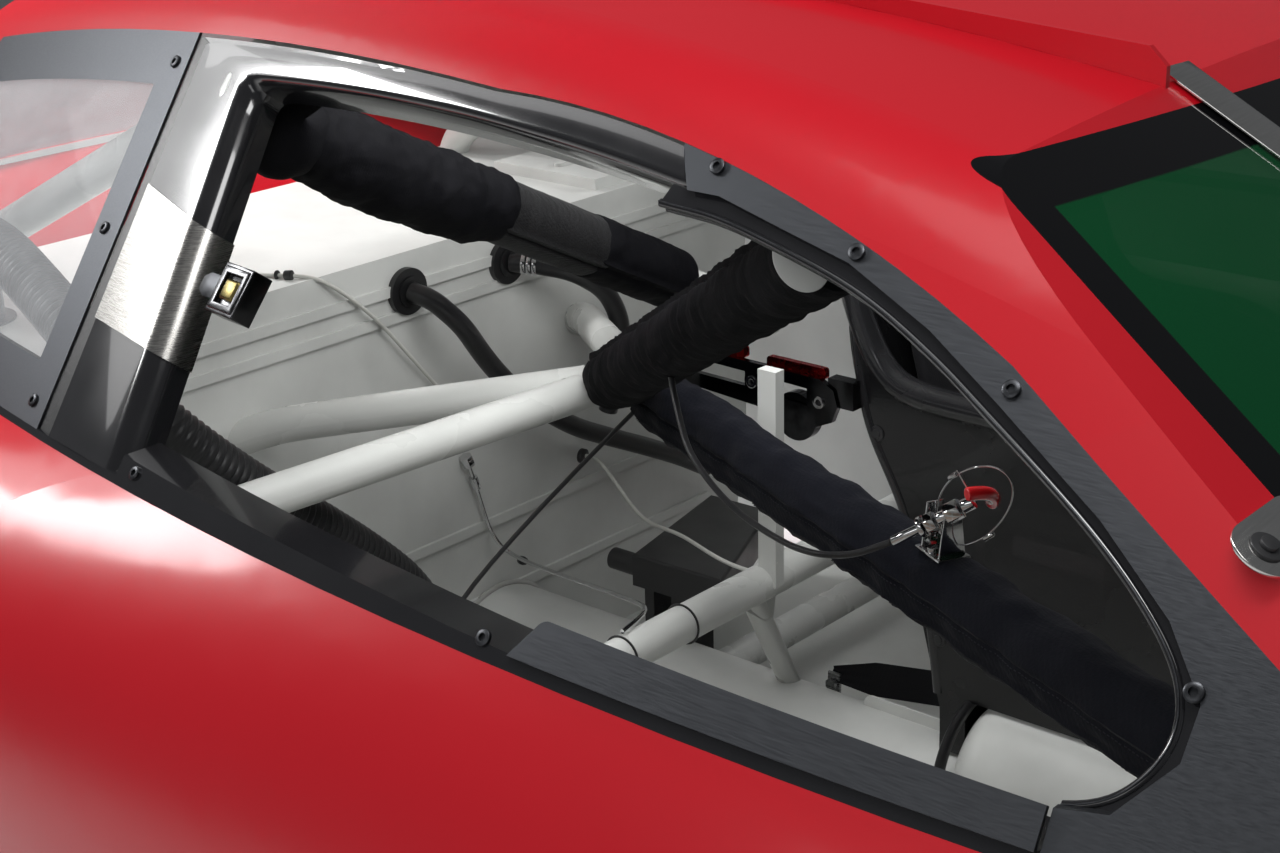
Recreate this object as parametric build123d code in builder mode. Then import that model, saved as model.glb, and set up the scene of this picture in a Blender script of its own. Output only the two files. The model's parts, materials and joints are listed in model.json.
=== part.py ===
from build123d import *
import os
from math import hypot, radians, sqrt, tan

os.makedirs("parts", exist_ok=True)

# Directions: x forward from the main hoop, y to the left, z up from the underside of the frame rails

# Body lines
BELT_Z = 800
BELT_HALF = 850
WIDEST_X = 720
BELT_R = 4734
LEAN = 0.745
ROOF_X = 100
ROOF_Z = 1225
ROOF_LONG_R = 3990
ROOF_CROSS_R = 7000
SCREEN_X = 1430
SCREEN_RISE = 0.545
SCREEN_R = 4000
BACKLIGHT_X = -1135
BACKLIGHT_RISE = 0.85
BACKLIGHT_R = 3000
SKIN = 6
EAVE_FILLET = 140
GLASS_RISE = 480

# Frame and floor
RAIL_W = 76
RAIL_H = 102
RAIL_Y = 722
REAR_X = -1180
FRONT_X = 1440
FLOOR_T = 3
BULKHEAD_X = -450
TRAY_Z = 771
FIREWALL_X = 1395

# Cage
TUBE = 44.45
HOOP_X = -115
HOOP_TOP_Z = ROOF_Z - 83
BEND_R = 110
SHOULDER_Z = 660
LOWER_Z = 194
SEAT_TUBE_X = 100
SEAT_TUBE_Z = 446
TUNNEL_Y = 117
TUNNEL_R = 115
TUNNEL_TOP_Z = 253
PAD_OD = 76
DIAGONAL_PAD_OD = 76
PAD_GAP = 0.3


def belt_y(x, inset=0):
    """Right belt line in plan, an arc about a far centre."""
    r = BELT_R - inset
    return -BELT_HALF + BELT_R - sqrt(r * r - (x - WIDEST_X) ** 2)


def side_y(x, z, inset=0):
    """Right window surface: the belt line carried up and inboard."""
    return belt_y(x, inset) + LEAN * (z - BELT_Z)


def side_band(outer, inner, low, high):
    """Leaning wall between two insets of the belt line, from height low to high."""
    x0, x1 = -1400, 1700
    with BuildPart() as band:
        with BuildSketch(Plane.XY.offset(BELT_Z)):
            with BuildLine():
                a = ThreePointArc((x0, belt_y(x0, outer)), (WIDEST_X, belt_y(WIDEST_X, outer)),
                    (x1, belt_y(x1, outer)))
                b = ThreePointArc((x0, belt_y(x0, inner)), (WIDEST_X, belt_y(WIDEST_X, inner)),
                    (x1, belt_y(x1, inner)))
                Line(a @ 0, b @ 0)
                Line(a @ 1, b @ 1)
            make_face()
        extrude(amount=(high - BELT_Z) * hypot(1, LEAN), dir=(0, LEAN, 1))
        if low < BELT_Z:
            with BuildSketch(Plane.XY.offset(BELT_Z)):
                with BuildLine():
                    c = ThreePointArc((x0, belt_y(x0, outer)), (WIDEST_X, belt_y(WIDEST_X, outer)),
                        (x1, belt_y(x1, outer)))
                    d = ThreePointArc((x0, belt_y(x0, inner)), (WIDEST_X, belt_y(WIDEST_X, inner)),
                        (x1, belt_y(x1, inner)))
                    Line(c @ 0, d @ 0)
                    Line(c @ 1, d @ 1)
                make_face()
            extrude(amount=(BELT_Z - low) * hypot(1, LEAN), dir=(0, -LEAN, -1))
    return band.part


def side_slab(outline, outer, inner):
    """Piece of the right window surface inside an outline drawn in side view."""
    with BuildPart() as slab:
        add(side_band(outer, inner, BELT_Z - 60, BELT_Z + 420))
        with BuildSketch(Plane.XZ):
            add(outline)
        extrude(amount=1200, mode=Mode.INTERSECT)
    return slab.part


def greenhouse(inset):
    """Solid of the body above the belt, drawn in by a wall thickness."""
    x0, x1 = -1600, 1900
    with BuildPart() as body:
        with BuildSketch(Plane.XY.offset(BELT_Z)):
            with BuildLine():
                a = ThreePointArc((x0, belt_y(x0, inset)), (WIDEST_X, belt_y(WIDEST_X, inset)),
                    (x1, belt_y(x1, inset)))
                Polyline(a @ 1, (x1, 1500), (x0, 1500), a @ 0)
            make_face()
        extrude(amount=GLASS_RISE * hypot(1, LEAN), dir=(0, LEAN, 1))
        with BuildSketch(Plane.XY.offset(BELT_Z)):
            with BuildLine():
                b = ThreePointArc((x0, -belt_y(x0, inset)), (WIDEST_X, -belt_y(WIDEST_X, inset)),
                    (x1, -belt_y(x1, inset)))
                Polyline(b @ 1, (x1, -1500), (x0, -1500), b @ 0)
            make_face()
        extrude(amount=GLASS_RISE * hypot(1, LEAN), dir=(0, -LEAN, 1), mode=Mode.INTERSECT)
        crown = 900 ** 2 / (2 * ROOF_CROSS_R)
        top = ROOF_Z - inset
        with BuildSketch(Plane(origin=(ROOF_X, 0, 0), x_dir=(0, 1, 0), z_dir=(1, 0, 0))):
            with BuildLine():
                c = ThreePointArc((-900, top - crown), (0, top), (900, top - crown))
                Polyline(c @ 1, (900, -1000), (-900, -1000), c @ 0)
            make_face()
        revolve(axis=Axis((ROOF_X, 0, ROOF_Z - ROOF_LONG_R), (0, 1, 0)), mode=Mode.INTERSECT)
        fillet(body.edges().sort_by(Axis.Z)[-2:], EAVE_FILLET - inset)
        sag = 1200 ** 2 / (2 * SCREEN_R)
        foot = SCREEN_X - inset / SCREEN_RISE
        with BuildSketch(Plane.XY.offset(BELT_Z)):
            with BuildLine():
                d = ThreePointArc((foot - sag, -1200), (foot, 0), (foot - sag, 1200))
                Polyline(d @ 1, (-3000, 1200), (-3000, -1200), d @ 0)
            make_face()
        extrude(amount=1000, dir=(-1, 0, SCREEN_RISE), mode=Mode.INTERSECT)
        sag_r = 1200 ** 2 / (2 * BACKLIGHT_R)
        foot_r = BACKLIGHT_X + inset / BACKLIGHT_RISE
        with BuildSketch(Plane.XY.offset(BELT_Z)):
            with BuildLine():
                e = ThreePointArc((foot_r + sag_r, -1200), (foot_r, 0), (foot_r + sag_r, 1200))
                Polyline(e @ 1, (3000, 1200), (3000, -1200), e @ 0)
            make_face()
        extrude(amount=1000, dir=(1, 0, BACKLIGHT_RISE), mode=Mode.INTERSECT)
    return body.part


def roof_under(x, y):
    """Height of the roof's inner surface."""
    return ROOF_Z - SKIN - (x - ROOF_X) ** 2 / (2 * ROOF_LONG_R) - y ** 2 / (2 * ROOF_CROSS_R)


def tube(points, od=TUBE, bend=BEND_R):
    """Round bar along straight runs joined by tangent bends."""
    with BuildPart() as bar:
        with BuildLine() as run:
            if len(points) > 2:
                FilletPolyline(*points, radius=bend)
            else:
                Line(*points)
        with BuildSketch(Plane(origin=run.line @ 0, z_dir=run.line % 0)):
            Circle(od / 2)
        sweep()
    return bar.part


def sleeve(start, end, od, bore=TUBE + 2 * PAD_GAP):
    """Padded sleeve round a straight bar."""
    with BuildPart() as pad:
        axis = Plane(origin=start, z_dir=Vector(*end) - Vector(*start))
        with BuildSketch(axis):
            Circle(od / 2)
            Circle(bore / 2, mode=Mode.SUBTRACT)
        extrude(amount=(Vector(*end) - Vector(*start)).length)
    return pad.part


def along(start, end, share):
    """Point part of the way along a straight bar."""
    return tuple(a + (b - a) * share for a, b in zip(start, end))


def tunnel_body(inset):
    """Half-round tunnel on the floor, filled, drawn in by a wall thickness."""
    with BuildPart() as hump:
        with BuildSketch(Plane.YZ.offset(BULKHEAD_X)):
            with Locations((TUNNEL_Y, TUNNEL_TOP_Z - TUNNEL_R)):
                Circle(TUNNEL_R - inset)
            with Locations((TUNNEL_Y, (TUNNEL_TOP_Z - TUNNEL_R + RAIL_H + FLOOR_T) / 2)):
                Rectangle(2 * (TUNNEL_R - inset), TUNNEL_TOP_Z - TUNNEL_R - RAIL_H - FLOOR_T)
            with Locations((TUNNEL_Y, RAIL_H + FLOOR_T)):
                Rectangle(3 * TUNNEL_R, 3 * TUNNEL_R, align=(Align.CENTER, Align.MAX), mode=Mode.SUBTRACT)
        extrude(amount=FIREWALL_X - BULKHEAD_X)
    return hump.part


# Frame rails with cross members and outriggers to the rockers
OUTRIGGER_X = (-330, 150, 640, 1130)
with BuildPart() as frame_rails:
    for side in (-1, 1):
        with Locations(((REAR_X + FRONT_X) / 2, side * RAIL_Y, RAIL_H / 2)):
            Box(FRONT_X - REAR_X - 80, RAIL_W, RAIL_H)
        for x in OUTRIGGER_X:
            with Locations((x, side * (RAIL_Y + RAIL_W / 2 + 65), 80)):
                Box(30, 130, 30)
    for x in (REAR_X + 80, BULKHEAD_X - 60, 0, 690, FRONT_X - 80):
        with Locations((x, 0, RAIL_H / 2)):
            Box(50, 2 * RAIL_Y, RAIL_H)
frame_rails.part.label = "frame_rails"

# Main hoop with shoulder bar, lower cross bar and diagonal
HOOP_KNEE_Y = 705
HOOP_KNEE_Z = 770
HOOP_CORNER_Y = 505
SHOULDER_RISE = 26
DIAGONAL_TOP = (HOOP_X, -470, 1056)
DIAGONAL_FOOT = (HOOP_X, 320, SHOULDER_Z + 2)
with BuildPart() as main_hoop:
    add(tube([(HOOP_X, -RAIL_Y, RAIL_H), (HOOP_X, -HOOP_KNEE_Y, HOOP_KNEE_Z),
        (HOOP_X, -HOOP_CORNER_Y, HOOP_TOP_Z),
              (HOOP_X, HOOP_CORNER_Y, HOOP_TOP_Z), (HOOP_X, HOOP_KNEE_Y, HOOP_KNEE_Z),
                  (HOOP_X, RAIL_Y, RAIL_H)]))
    for side in (-1, 1):
        add(tube([(HOOP_X, 0, SHOULDER_Z), (HOOP_X, side * 706, SHOULDER_Z + SHOULDER_RISE)]))
    add(tube([(HOOP_X, -718, LOWER_Z), (HOOP_X, 718, LOWER_Z)]))
    add(tunnel_body(0), mode=Mode.SUBTRACT)
    add(tube([DIAGONAL_TOP, DIAGONAL_FOOT]))
    add(tube([(HOOP_X, -480, 1090), DIAGONAL_TOP]))
    add(frame_rails.part, mode=Mode.SUBTRACT)
main_hoop.part.label = "main_hoop"

# Roof halo with the front legs and stubs that carry the roof
HALO_Z = HOOP_TOP_Z - 42
HALO_MID_Z = HOOP_TOP_Z - 18
HALO = ((HOOP_X, 470, HOOP_TOP_Z), (660, 520, HALO_Z), (1290, 668, 765), (1300, RAIL_Y, RAIL_H))
with BuildPart() as roof_halo:
    for side in (-1, 1):
        add(tube([(x, side * y, z) for x, y, z in HALO]))
        for x, y in ((250, 250), (690, 300)):
            with Locations((x, side * y, HALO_Z)):
                Cylinder(12, roof_under(x, y) + 2 - HALO_Z, align=(Align.CENTER, Align.CENTER, Align.MIN))
    add(tube([(660, -515, HALO_Z), (660, 515, HALO_Z)]))
    add(tube([(250, -478, HALO_MID_Z), (250, 478, HALO_MID_Z)]))
    add(tube([(HOOP_X, 0, HOOP_TOP_Z), (660, 0, HALO_Z)]))
    add(main_hoop.part, mode=Mode.SUBTRACT)
    add(frame_rails.part, mode=Mode.SUBTRACT)
roof_halo.part.label = "roof_halo"

# Door bars on both sides
DOOR_BAR_Z = (180, 340, 500, 640)
DOOR_BAR_Y = 800
with BuildPart() as door_bars:
    for side in (-1, 1):
        for z in DOOR_BAR_Z:
            add(tube([(HOOP_X, side * 715, z), (200, side * DOOR_BAR_Y, z), (1050, side * DOOR_BAR_Y, z),
                (1297, side * 700, z)], bend=90))
        for x in (300, 650, 1000):
            add(tube([(x, side * DOOR_BAR_Y, DOOR_BAR_Z[0]), (x, side * DOOR_BAR_Y, DOOR_BAR_Z[-1])], od=32))
        add(tube([(HOOP_X, side * 709, 690), (1291, side * 690, 690)]))
    add(main_hoop.part, mode=Mode.SUBTRACT)
    add(roof_halo.part, mode=Mode.SUBTRACT)
door_bars.part.label = "door_bars"

# Dash bar
with BuildPart() as dash_bar:
    add(tube([(1291, -668, 735), (1291, 668, 735)]))
    add(roof_halo.part, mode=Mode.SUBTRACT)
    add(door_bars.part, mode=Mode.SUBTRACT)
dash_bar.part.label = "dash_bar"

# Right-side braces from the hoop centre
UPPER_BRACE = ((HOOP_X, -13, SHOULDER_Z), (650, -560, HALO_Z - 7))
LOWER_BRACE = ((HOOP_X, 52, 642), (1285, -669, 705))
with BuildPart() as side_braces:
    add(tube(UPPER_BRACE))
    add(tube(LOWER_BRACE))
    add(main_hoop.part, mode=Mode.SUBTRACT)
    add(roof_halo.part, mode=Mode.SUBTRACT)
    add(door_bars.part, mode=Mode.SUBTRACT)
    add(dash_bar.part, mode=Mode.SUBTRACT)
side_braces.part.label = "side_braces"

# Rear braces
with BuildPart() as rear_braces:
    for side in (-1, 1):
        add(tube([(HOOP_X - 5, side * 40, SHOULDER_Z + 8), (-450, side * 308, 613),
            (-1080, side * 640, RAIL_H)], bend=300))
        add(tube([(HOOP_X - 5, side * 420, HOOP_TOP_Z - 2), (-820, side * 430, 800),
            (-1100, side * 700, RAIL_H)], bend=150))
    add(main_hoop.part, mode=Mode.SUBTRACT)
    add(side_braces.part, mode=Mode.SUBTRACT)
    add(frame_rails.part, mode=Mode.SUBTRACT)
rear_braces.part.label = "rear_braces"

# Cross tube that carries the seat, with its square post, its leg and their gussets
SEAT_POST = (112, 21, 716)
SEAT_LEG_TOP_Y = -8
SEAT_LEG_FOOT = (0, 262, RAIL_H + FLOOR_T)
with BuildPart() as seat_mount:
    add(tube([(SEAT_TUBE_X, -RAIL_Y, RAIL_H), (SEAT_TUBE_X, -690, SEAT_TUBE_Z),
        (SEAT_TUBE_X, 690, SEAT_TUBE_Z),
              (SEAT_TUBE_X, RAIL_Y, RAIL_H)]))
    with Locations((SEAT_POST[0], SEAT_POST[1], (SEAT_TUBE_Z + SEAT_POST[2]) / 2)):
        Box(26, 16, SEAT_POST[2] - SEAT_TUBE_Z)
    add(tube([(SEAT_TUBE_X, SEAT_LEG_TOP_Y, SEAT_TUBE_Z), SEAT_LEG_FOOT], od=28))
    with BuildSketch(Plane.YZ.offset(SEAT_TUBE_X - 4)):
        with BuildLine():
            Polyline((SEAT_LEG_TOP_Y - 40, SEAT_TUBE_Z), (SEAT_LEG_TOP_Y + 60, SEAT_TUBE_Z),
                (SEAT_LEG_TOP_Y + 50, SEAT_TUBE_Z - 55),
                     (SEAT_LEG_TOP_Y + 34, SEAT_TUBE_Z - 55), close=True)
        make_face()
    extrude(amount=3)
    with BuildSketch(Plane.YZ.offset(SEAT_TUBE_X - 2)):
        with BuildLine():
            Polyline((90, SEAT_TUBE_Z), (210, SEAT_TUBE_Z), (180, SEAT_TUBE_Z + 46),
                (150, SEAT_TUBE_Z + 46), close=True)
        make_face()
    extrude(amount=4)
    add(tunnel_body(0), mode=Mode.SUBTRACT)
    add(frame_rails.part, mode=Mode.SUBTRACT)
    add(main_hoop.part, mode=Mode.SUBTRACT)
    add(door_bars.part, mode=Mode.SUBTRACT)
    add(side_braces.part, mode=Mode.SUBTRACT)
seat_mount.part.label = "seat_mount"

# Floor pan between the rails
with BuildPart() as floor_pan:
    with Locations(((BULKHEAD_X + FIREWALL_X) / 2, 0, RAIL_H + FLOOR_T / 2)):
        Box(FIREWALL_X - BULKHEAD_X, 2 * RAIL_Y - RAIL_W + 20, FLOOR_T)
    for piece in (main_hoop, roof_halo, seat_mount):
        add(piece.part, mode=Mode.SUBTRACT)
floor_pan.part.label = "floor_pan"

# Tunnel with the raised gearbox cover on its front half
COVER_X = 345
COVER_R = 95
COVER_Y = 130
COVER_Z = 235
with BuildPart() as tunnel:
    add(tunnel_body(0))
    add(tunnel_body(FLOOR_T), mode=Mode.SUBTRACT)
tunnel.part.label = "tunnel"
def cover_body(grow):
    """Filled gearbox hump, drawn out by a clearance."""
    with BuildPart() as hump:
        with BuildSketch(Plane.YZ.offset(COVER_X - grow)):
            with Locations((COVER_Y, COVER_Z)):
                Circle(COVER_R + grow)
                Rectangle(2 * (COVER_R + grow), 90, align=(Align.CENTER, Align.MAX))
        extrude(amount=FIREWALL_X - COVER_X + grow)
    return hump.part


with BuildPart() as gearbox_cover:
    add(cover_body(0))
    fillet(gearbox_cover.edges().group_by(Axis.X)[0].filter_by(lambda e: e.center().Z > COVER_Z), 40)
    add(tunnel_body(0), mode=Mode.SUBTRACT)
gearbox_cover.part.label = "gearbox_cover"

# Rear bulkhead with beads, hose holes and bar holes
GROMMETS = ((-23, 723), (162, 721))
BEAD_Z = (728, 692, 355, 244)
with BuildPart() as rear_bulkhead:
    with BuildSketch(Plane.YZ.offset(BULKHEAD_X)):
        with BuildLine():
            Polyline((-640, RAIL_H), (-690, 300), (-690, TRAY_Z - 60), (-640, TRAY_Z), (640, TRAY_Z),
                (690, TRAY_Z - 60), (690, 300), (640, RAIL_H), close=True)
        make_face()
    extrude(amount=-FLOOR_T)
    with BuildSketch(Plane.YZ.offset(BULKHEAD_X)):
        for z in BEAD_Z:
            with Locations((0, z)):
                SlotOverall(1180, 14)
    extrude(amount=5)
    with BuildSketch(Plane.YZ.offset(BULKHEAD_X - FLOOR_T - 1)):
        for y, z in GROMMETS:
            with Locations((y, z)):
                Circle(22)
    extrude(amount=12, mode=Mode.SUBTRACT)
    for piece in (frame_rails, rear_braces, tunnel):
        add(piece.part, mode=Mode.SUBTRACT)
rear_bulkhead.part.label = "rear_bulkhead"

# Package tray behind the bulkhead, with a raised panel on its left and a rolled rib on that
TRAY_END_X = -863
TRAY_HALF = 590
RAISED_Y = 372
with BuildPart() as package_tray:
    with Locations(((BULKHEAD_X + TRAY_END_X) / 2 - FLOOR_T / 2, 0, TRAY_Z + FLOOR_T / 2)):
        Box(BULKHEAD_X - TRAY_END_X + FLOOR_T, 2 * TRAY_HALF, FLOOR_T)
    with Locations((BULKHEAD_X - 20, RAISED_Y, TRAY_Z + FLOOR_T)):
        Box(200, 200, 16, align=(Align.MAX, Align.MIN, Align.MIN))
    with BuildSketch(Plane.XY.offset(TRAY_Z + FLOOR_T + 16)):
        with Locations((BULKHEAD_X - 120, RAISED_Y + 100)):
            SlotOverall(150, 14, rotation=90)
    extrude(amount=5)
    add(rear_braces.part, mode=Mode.SUBTRACT)
package_tray.part.label = "package_tray"

# Firewall with the cowl flange under the windshield's foot
COWL_Z = BELT_Z - 0.3
COWL_X = 1440
COWL_HALF = 660
with BuildPart() as firewall:
    with BuildSketch(Plane.YZ.offset(FIREWALL_X)):
        with BuildLine():
            Polyline((-680, RAIL_H), (-720, 300), (-720, 700), (-660, COWL_Z), (660, COWL_Z), (720, 700),
                (720, 300), (680, RAIL_H), close=True)
        make_face()
    extrude(amount=FLOOR_T)
    with Locations((FIREWALL_X, 0, COWL_Z)):
        Box(COWL_X - FIREWALL_X, 2 * COWL_HALF, FLOOR_T, align=(Align.MIN, Align.CENTER, Align.MAX))
    add(frame_rails.part, mode=Mode.SUBTRACT)
firewall.part.label = "firewall"

# Black dash panel with its binnacle opening, hung between the cowl and the dash bar
DASH_X = 1180
DASH_T = 4
DASH_TOP_Z = COWL_Z - FLOOR_T - 5
DASH_HALF = 630
with BuildPart() as dash_panel:
    with BuildSketch(Plane.XZ):
        with BuildLine():
            back = Polyline((FIREWALL_X, DASH_TOP_Z), (DASH_X, DASH_TOP_Z), (DASH_X - 30, 745),
                (DASH_X - 14, 600))
            offset(back, amount=DASH_T, side=Side.RIGHT)
        make_face()
    extrude(amount=DASH_HALF, both=True)
    with BuildSketch(Plane.YZ.offset(DASH_X - 60)):
        with Locations((370, 690)):
            SlotOverall(240, 80)
        with Locations((-200, 700)):
            RectangleRounded(220, 60, 8)
    extrude(amount=100, mode=Mode.SUBTRACT)
    add(tube([along(*LOWER_BRACE, 0.8), LOWER_BRACE[1]], od=PAD_OD + 8), mode=Mode.SUBTRACT)
    for piece in (side_braces, roof_halo, dash_bar):
        add(piece.part, mode=Mode.SUBTRACT)
dash_panel.part.label = "dash_panel"

# Black box with a round fitting, seated on the tunnel through two runners
BOX_TOP = ((-232, 161), (-80, 165), (-180, 400), (-285, 396))
BOX_Z = 300
BOX_H = 46
with BuildPart() as catch_box:
    with BuildSketch(Plane.XY.offset(BOX_Z)):
        with BuildLine():
            Polyline(*BOX_TOP, close=True)
        make_face()
    extrude(amount=BOX_H)
    fillet(catch_box.edges().group_by(Axis.Z)[-1], 4)
    for x in (-215, -168):
        with Locations((x, 210, TUNNEL_TOP_Z - 80)):
            Box(16, 70, BOX_Z - TUNNEL_TOP_Z + 80, align=(Align.CENTER, Align.CENTER, Align.MIN))
    with BuildSketch(Plane.YZ.offset(-280)):
        with Locations((178, BOX_Z + 22)):
            Circle(15)
    extrude(amount=50)
    add(tunnel_body(0), mode=Mode.SUBTRACT)
catch_box.part.label = "catch_box"


def bends(points, share=0.45):
    """Radius at each inner point of a hose's route, as large as its two runs allow."""
    sizes = []
    for a, b, c in zip(points, points[1:], points[2:]):
        first, second = Vector(*b) - Vector(*a), Vector(*c) - Vector(*b)
        turn = radians(first.get_angle(second))
        sizes.append(share * min(first.length, second.length) / tan(turn / 2))
    return sizes


def hose(points, od):
    """Hose or wire along its route, with the arcs as large as the runs allow."""
    sizes = bends(points)
    print("radii", [round(r) for r in sizes])
    with BuildPart() as line:
        with BuildLine() as run:
            FilletPolyline(*points, radius=sizes)
        with BuildSketch(Plane(origin=run.line @ 0, z_dir=run.line % 0)):
            Circle(od / 2)
        sweep()
    return line.part


# Black hoses from the two bulkhead grommets, clipped behind the braces
LOW_HOSE = ((BULKHEAD_X + 12, -23, 723), (-408, -15, 716), (-384, 12, 680), (-384, 52, 622),
    (-392, 104, 568), (-396, 170, 515),
            (-396, 236, 470), (-394, 305, 436), (-392, 380, 400), (-392, 455, 362), (-394, 520, 324))
HIGH_HOSE = ((BULKHEAD_X + 12, 162, 721), (-410, 176, 720), (-372, 214, 708), (-350, 254, 676), (-345, 276, 632),
    (-350, 284, 582), (-362, 282, 532), (-372, 276, 490))
HOSE_OD = 27
GROMMET_FLANGE = 9
with BuildPart() as hose_grommets:
    for y, z in GROMMETS:
        with BuildSketch(Plane.YZ.offset(BULKHEAD_X)):
            with Locations((y, z)):
                Circle(31)
        extrude(amount=GROMMET_FLANGE)
        with BuildSketch(Plane.YZ.offset(BULKHEAD_X - FLOOR_T)):
            with Locations((y, z)):
                Circle(22)
        extrude(amount=FLOOR_T)
        with BuildSketch(Plane.YZ.offset(BULKHEAD_X + GROMMET_FLANGE)):
            with Locations((y, z)):
                Circle(20)
        extrude(amount=3)
    add(rear_bulkhead.part, mode=Mode.SUBTRACT)
hose_grommets.part.label = "hose_grommets"
with BuildPart() as oil_hoses:
    add(hose(LOW_HOSE, HOSE_OD))
    add(hose(HIGH_HOSE, HOSE_OD))
    add(hose_grommets.part, mode=Mode.SUBTRACT)
oil_hoses.part.label = "oil_hoses"

# Ribbed air hose from a collar on the tray, past the pillar and down to a collar on the floor
AIR_HOSE = ((-640, -530, 792), (-640, -532, 850), (-590, -548, 890), (-500, -572, 893), (-400, -598, 872),
    (-300, -618, 838), (-215, -620, 788), (-186, -586, 738), (-176, -520, 672), (-174, -440, 606), (-172, -370, 545),
    (-170, -305, 480), (-170, -262, 400), (-172, -245, 310), (-174, -240, 215), (-174, -240, 122))
AIR_OD = 60
with BuildPart() as air_hose:
    add(hose(AIR_HOSE, AIR_OD))
air_hose.part.label = "air_hose"
with BuildPart() as hose_collars:
    for place, low, high in ((AIR_HOSE[0], TRAY_Z + FLOOR_T, 822), (AIR_HOSE[-1], RAIL_H + FLOOR_T, 150)):
        with BuildSketch(Plane.XY.offset(low)):
            with Locations(place[:2]):
                Circle(AIR_OD / 2 + 16)
        extrude(amount=3)
        with BuildSketch(Plane.XY.offset(low)):
            with Locations(place[:2]):
                Circle(AIR_OD / 2 + 3.5)
        extrude(amount=high - low)
    add(air_hose.part, mode=Mode.SUBTRACT)
hose_collars.part.label = "hose_collars"

# Thin lines: a bright hard line, a pale vent line and a black release rod
HARD_LINE = ((-441, 60, 470), (-441, 84, 403), (-440, 92, 362), (-424, 100, 326), (-395, 118, 306), (74, -165, 475),
    (92, -190, 477), (98, -232, 474))
RELEASE_ROD = ((-113, 98, 636), (-136, -261, 470), (-128, -300, 420), (-118, -330, 330), (-115, -340, LOWER_Z + 22.5))
VENT_LINE = ((-445, 290, 400), (-425, 300, 404), (-395, 290, 398), (-330, 262, 370), (-250, 215, 366),
    (-150, 160, 400), (-60, 100, 420), (20, 58, 432),
             (74, 36, 446))
with BuildPart() as steel_lines:
    for route, od in ((HARD_LINE, 5), (VENT_LINE, 5), (RELEASE_ROD, 6)):
        add(hose(route, od))
    with BuildSketch(Plane.YZ.offset(BULKHEAD_X)):
        with Locations((290, 400)):
            RegularPolygon(13, 6)
    extrude(amount=14)
    with Locations((BULKHEAD_X, 84, 403)):
        Box(12, 16, 14, align=(Align.MIN, Align.CENTER, Align.CENTER))
    for piece in (main_hoop, seat_mount, tunnel, rear_bulkhead):
        add(piece.part, mode=Mode.SUBTRACT)
steel_lines.part.label = "steel_lines"

# Pads
with BuildPart() as pad_diagonal:
    add(sleeve(along(DIAGONAL_TOP, DIAGONAL_FOOT, 0.03), along(DIAGONAL_TOP, DIAGONAL_FOOT, 0.75),
        DIAGONAL_PAD_OD))
pad_diagonal.part.label = "pad_diagonal"
with BuildPart() as pad_upper:
    add(sleeve(along(*UPPER_BRACE, 0.12), along(*UPPER_BRACE, 0.89), PAD_OD))
pad_upper.part.label = "pad_upper"
with BuildPart() as pad_lower:
    add(sleeve(along(*LOWER_BRACE, 0.12), along(*LOWER_BRACE, 0.93), PAD_OD))
pad_lower.part.label = "pad_lower"


# Window surface outlines in side view
def side_opening():
    """Everything set into the roof panel on one side."""
    with BuildSketch() as face:
        with BuildLine():
            ThreePointArc((-674, 1088), (-207, 1147), (276, 1154))
            ThreePointArc((276, 1154), (597, 1123), (839, 1047))
            Polyline((839, 1047), (1073, 926), (1306, BELT_Z), (1306, BELT_Z - 60), (-900, BELT_Z - 60),
                (-900, BELT_Z), (-674, 1088))
        make_face()
    return face.sketch


def strip(points, closed=True):
    """Straight-sided outline in side view."""
    with BuildSketch() as face:
        with BuildLine():
            Polyline(*points, close=closed)
        make_face()
    return face.sketch


def screen_outline():
    """Front view outline of the windshield."""
    with BuildSketch() as face:
        with BuildLine():
            Polyline((-565, 1152), (565, 1152), (740, 835), (-740, 835), close=True)
        make_face()
        fillet(face.vertices().group_by(Axis.Y)[-1], 45)
        fillet(face.vertices().group_by(Axis.Y)[0], 30)
    return face.sketch


def backlight_outline():
    """Rear view outline of the rear window."""
    with BuildSketch() as face:
        with BuildLine():
            Polyline((-330, 1100), (330, 1100), (420, 850), (-420, 850), close=True)
        make_face()
        fillet(face.vertices(), 40)
    return face.sketch


# Roof flap hinges, one line along the front edge of each flap
FLAP = (-420, -180, 90, 400)
FLAP_GAP = 6
HINGE_X = FLAP[1] - 6
HINGE_Z = ROOF_Z - 18
HINGE_TILT = 0.035
HINGE_ROD_R = 2
KNUCKLE_R = 4
TRAY_FLOOR_Z = ROOF_Z - 68


def hinge_rod(side, radius, start, end):
    """Round bar on a flap's hinge line between two distances from the centreline."""
    mid = (FLAP[2] + FLAP[3]) / 2
    with BuildPart() as rod:
        foot = (HINGE_X, side * start, HINGE_Z + HINGE_TILT * (mid - start))
        with BuildSketch(Plane(origin=foot, z_dir=(0, side, -HINGE_TILT))):
            Circle(radius)
        extrude(amount=(end - start) * hypot(1, HINGE_TILT))
    return rod.part


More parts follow.
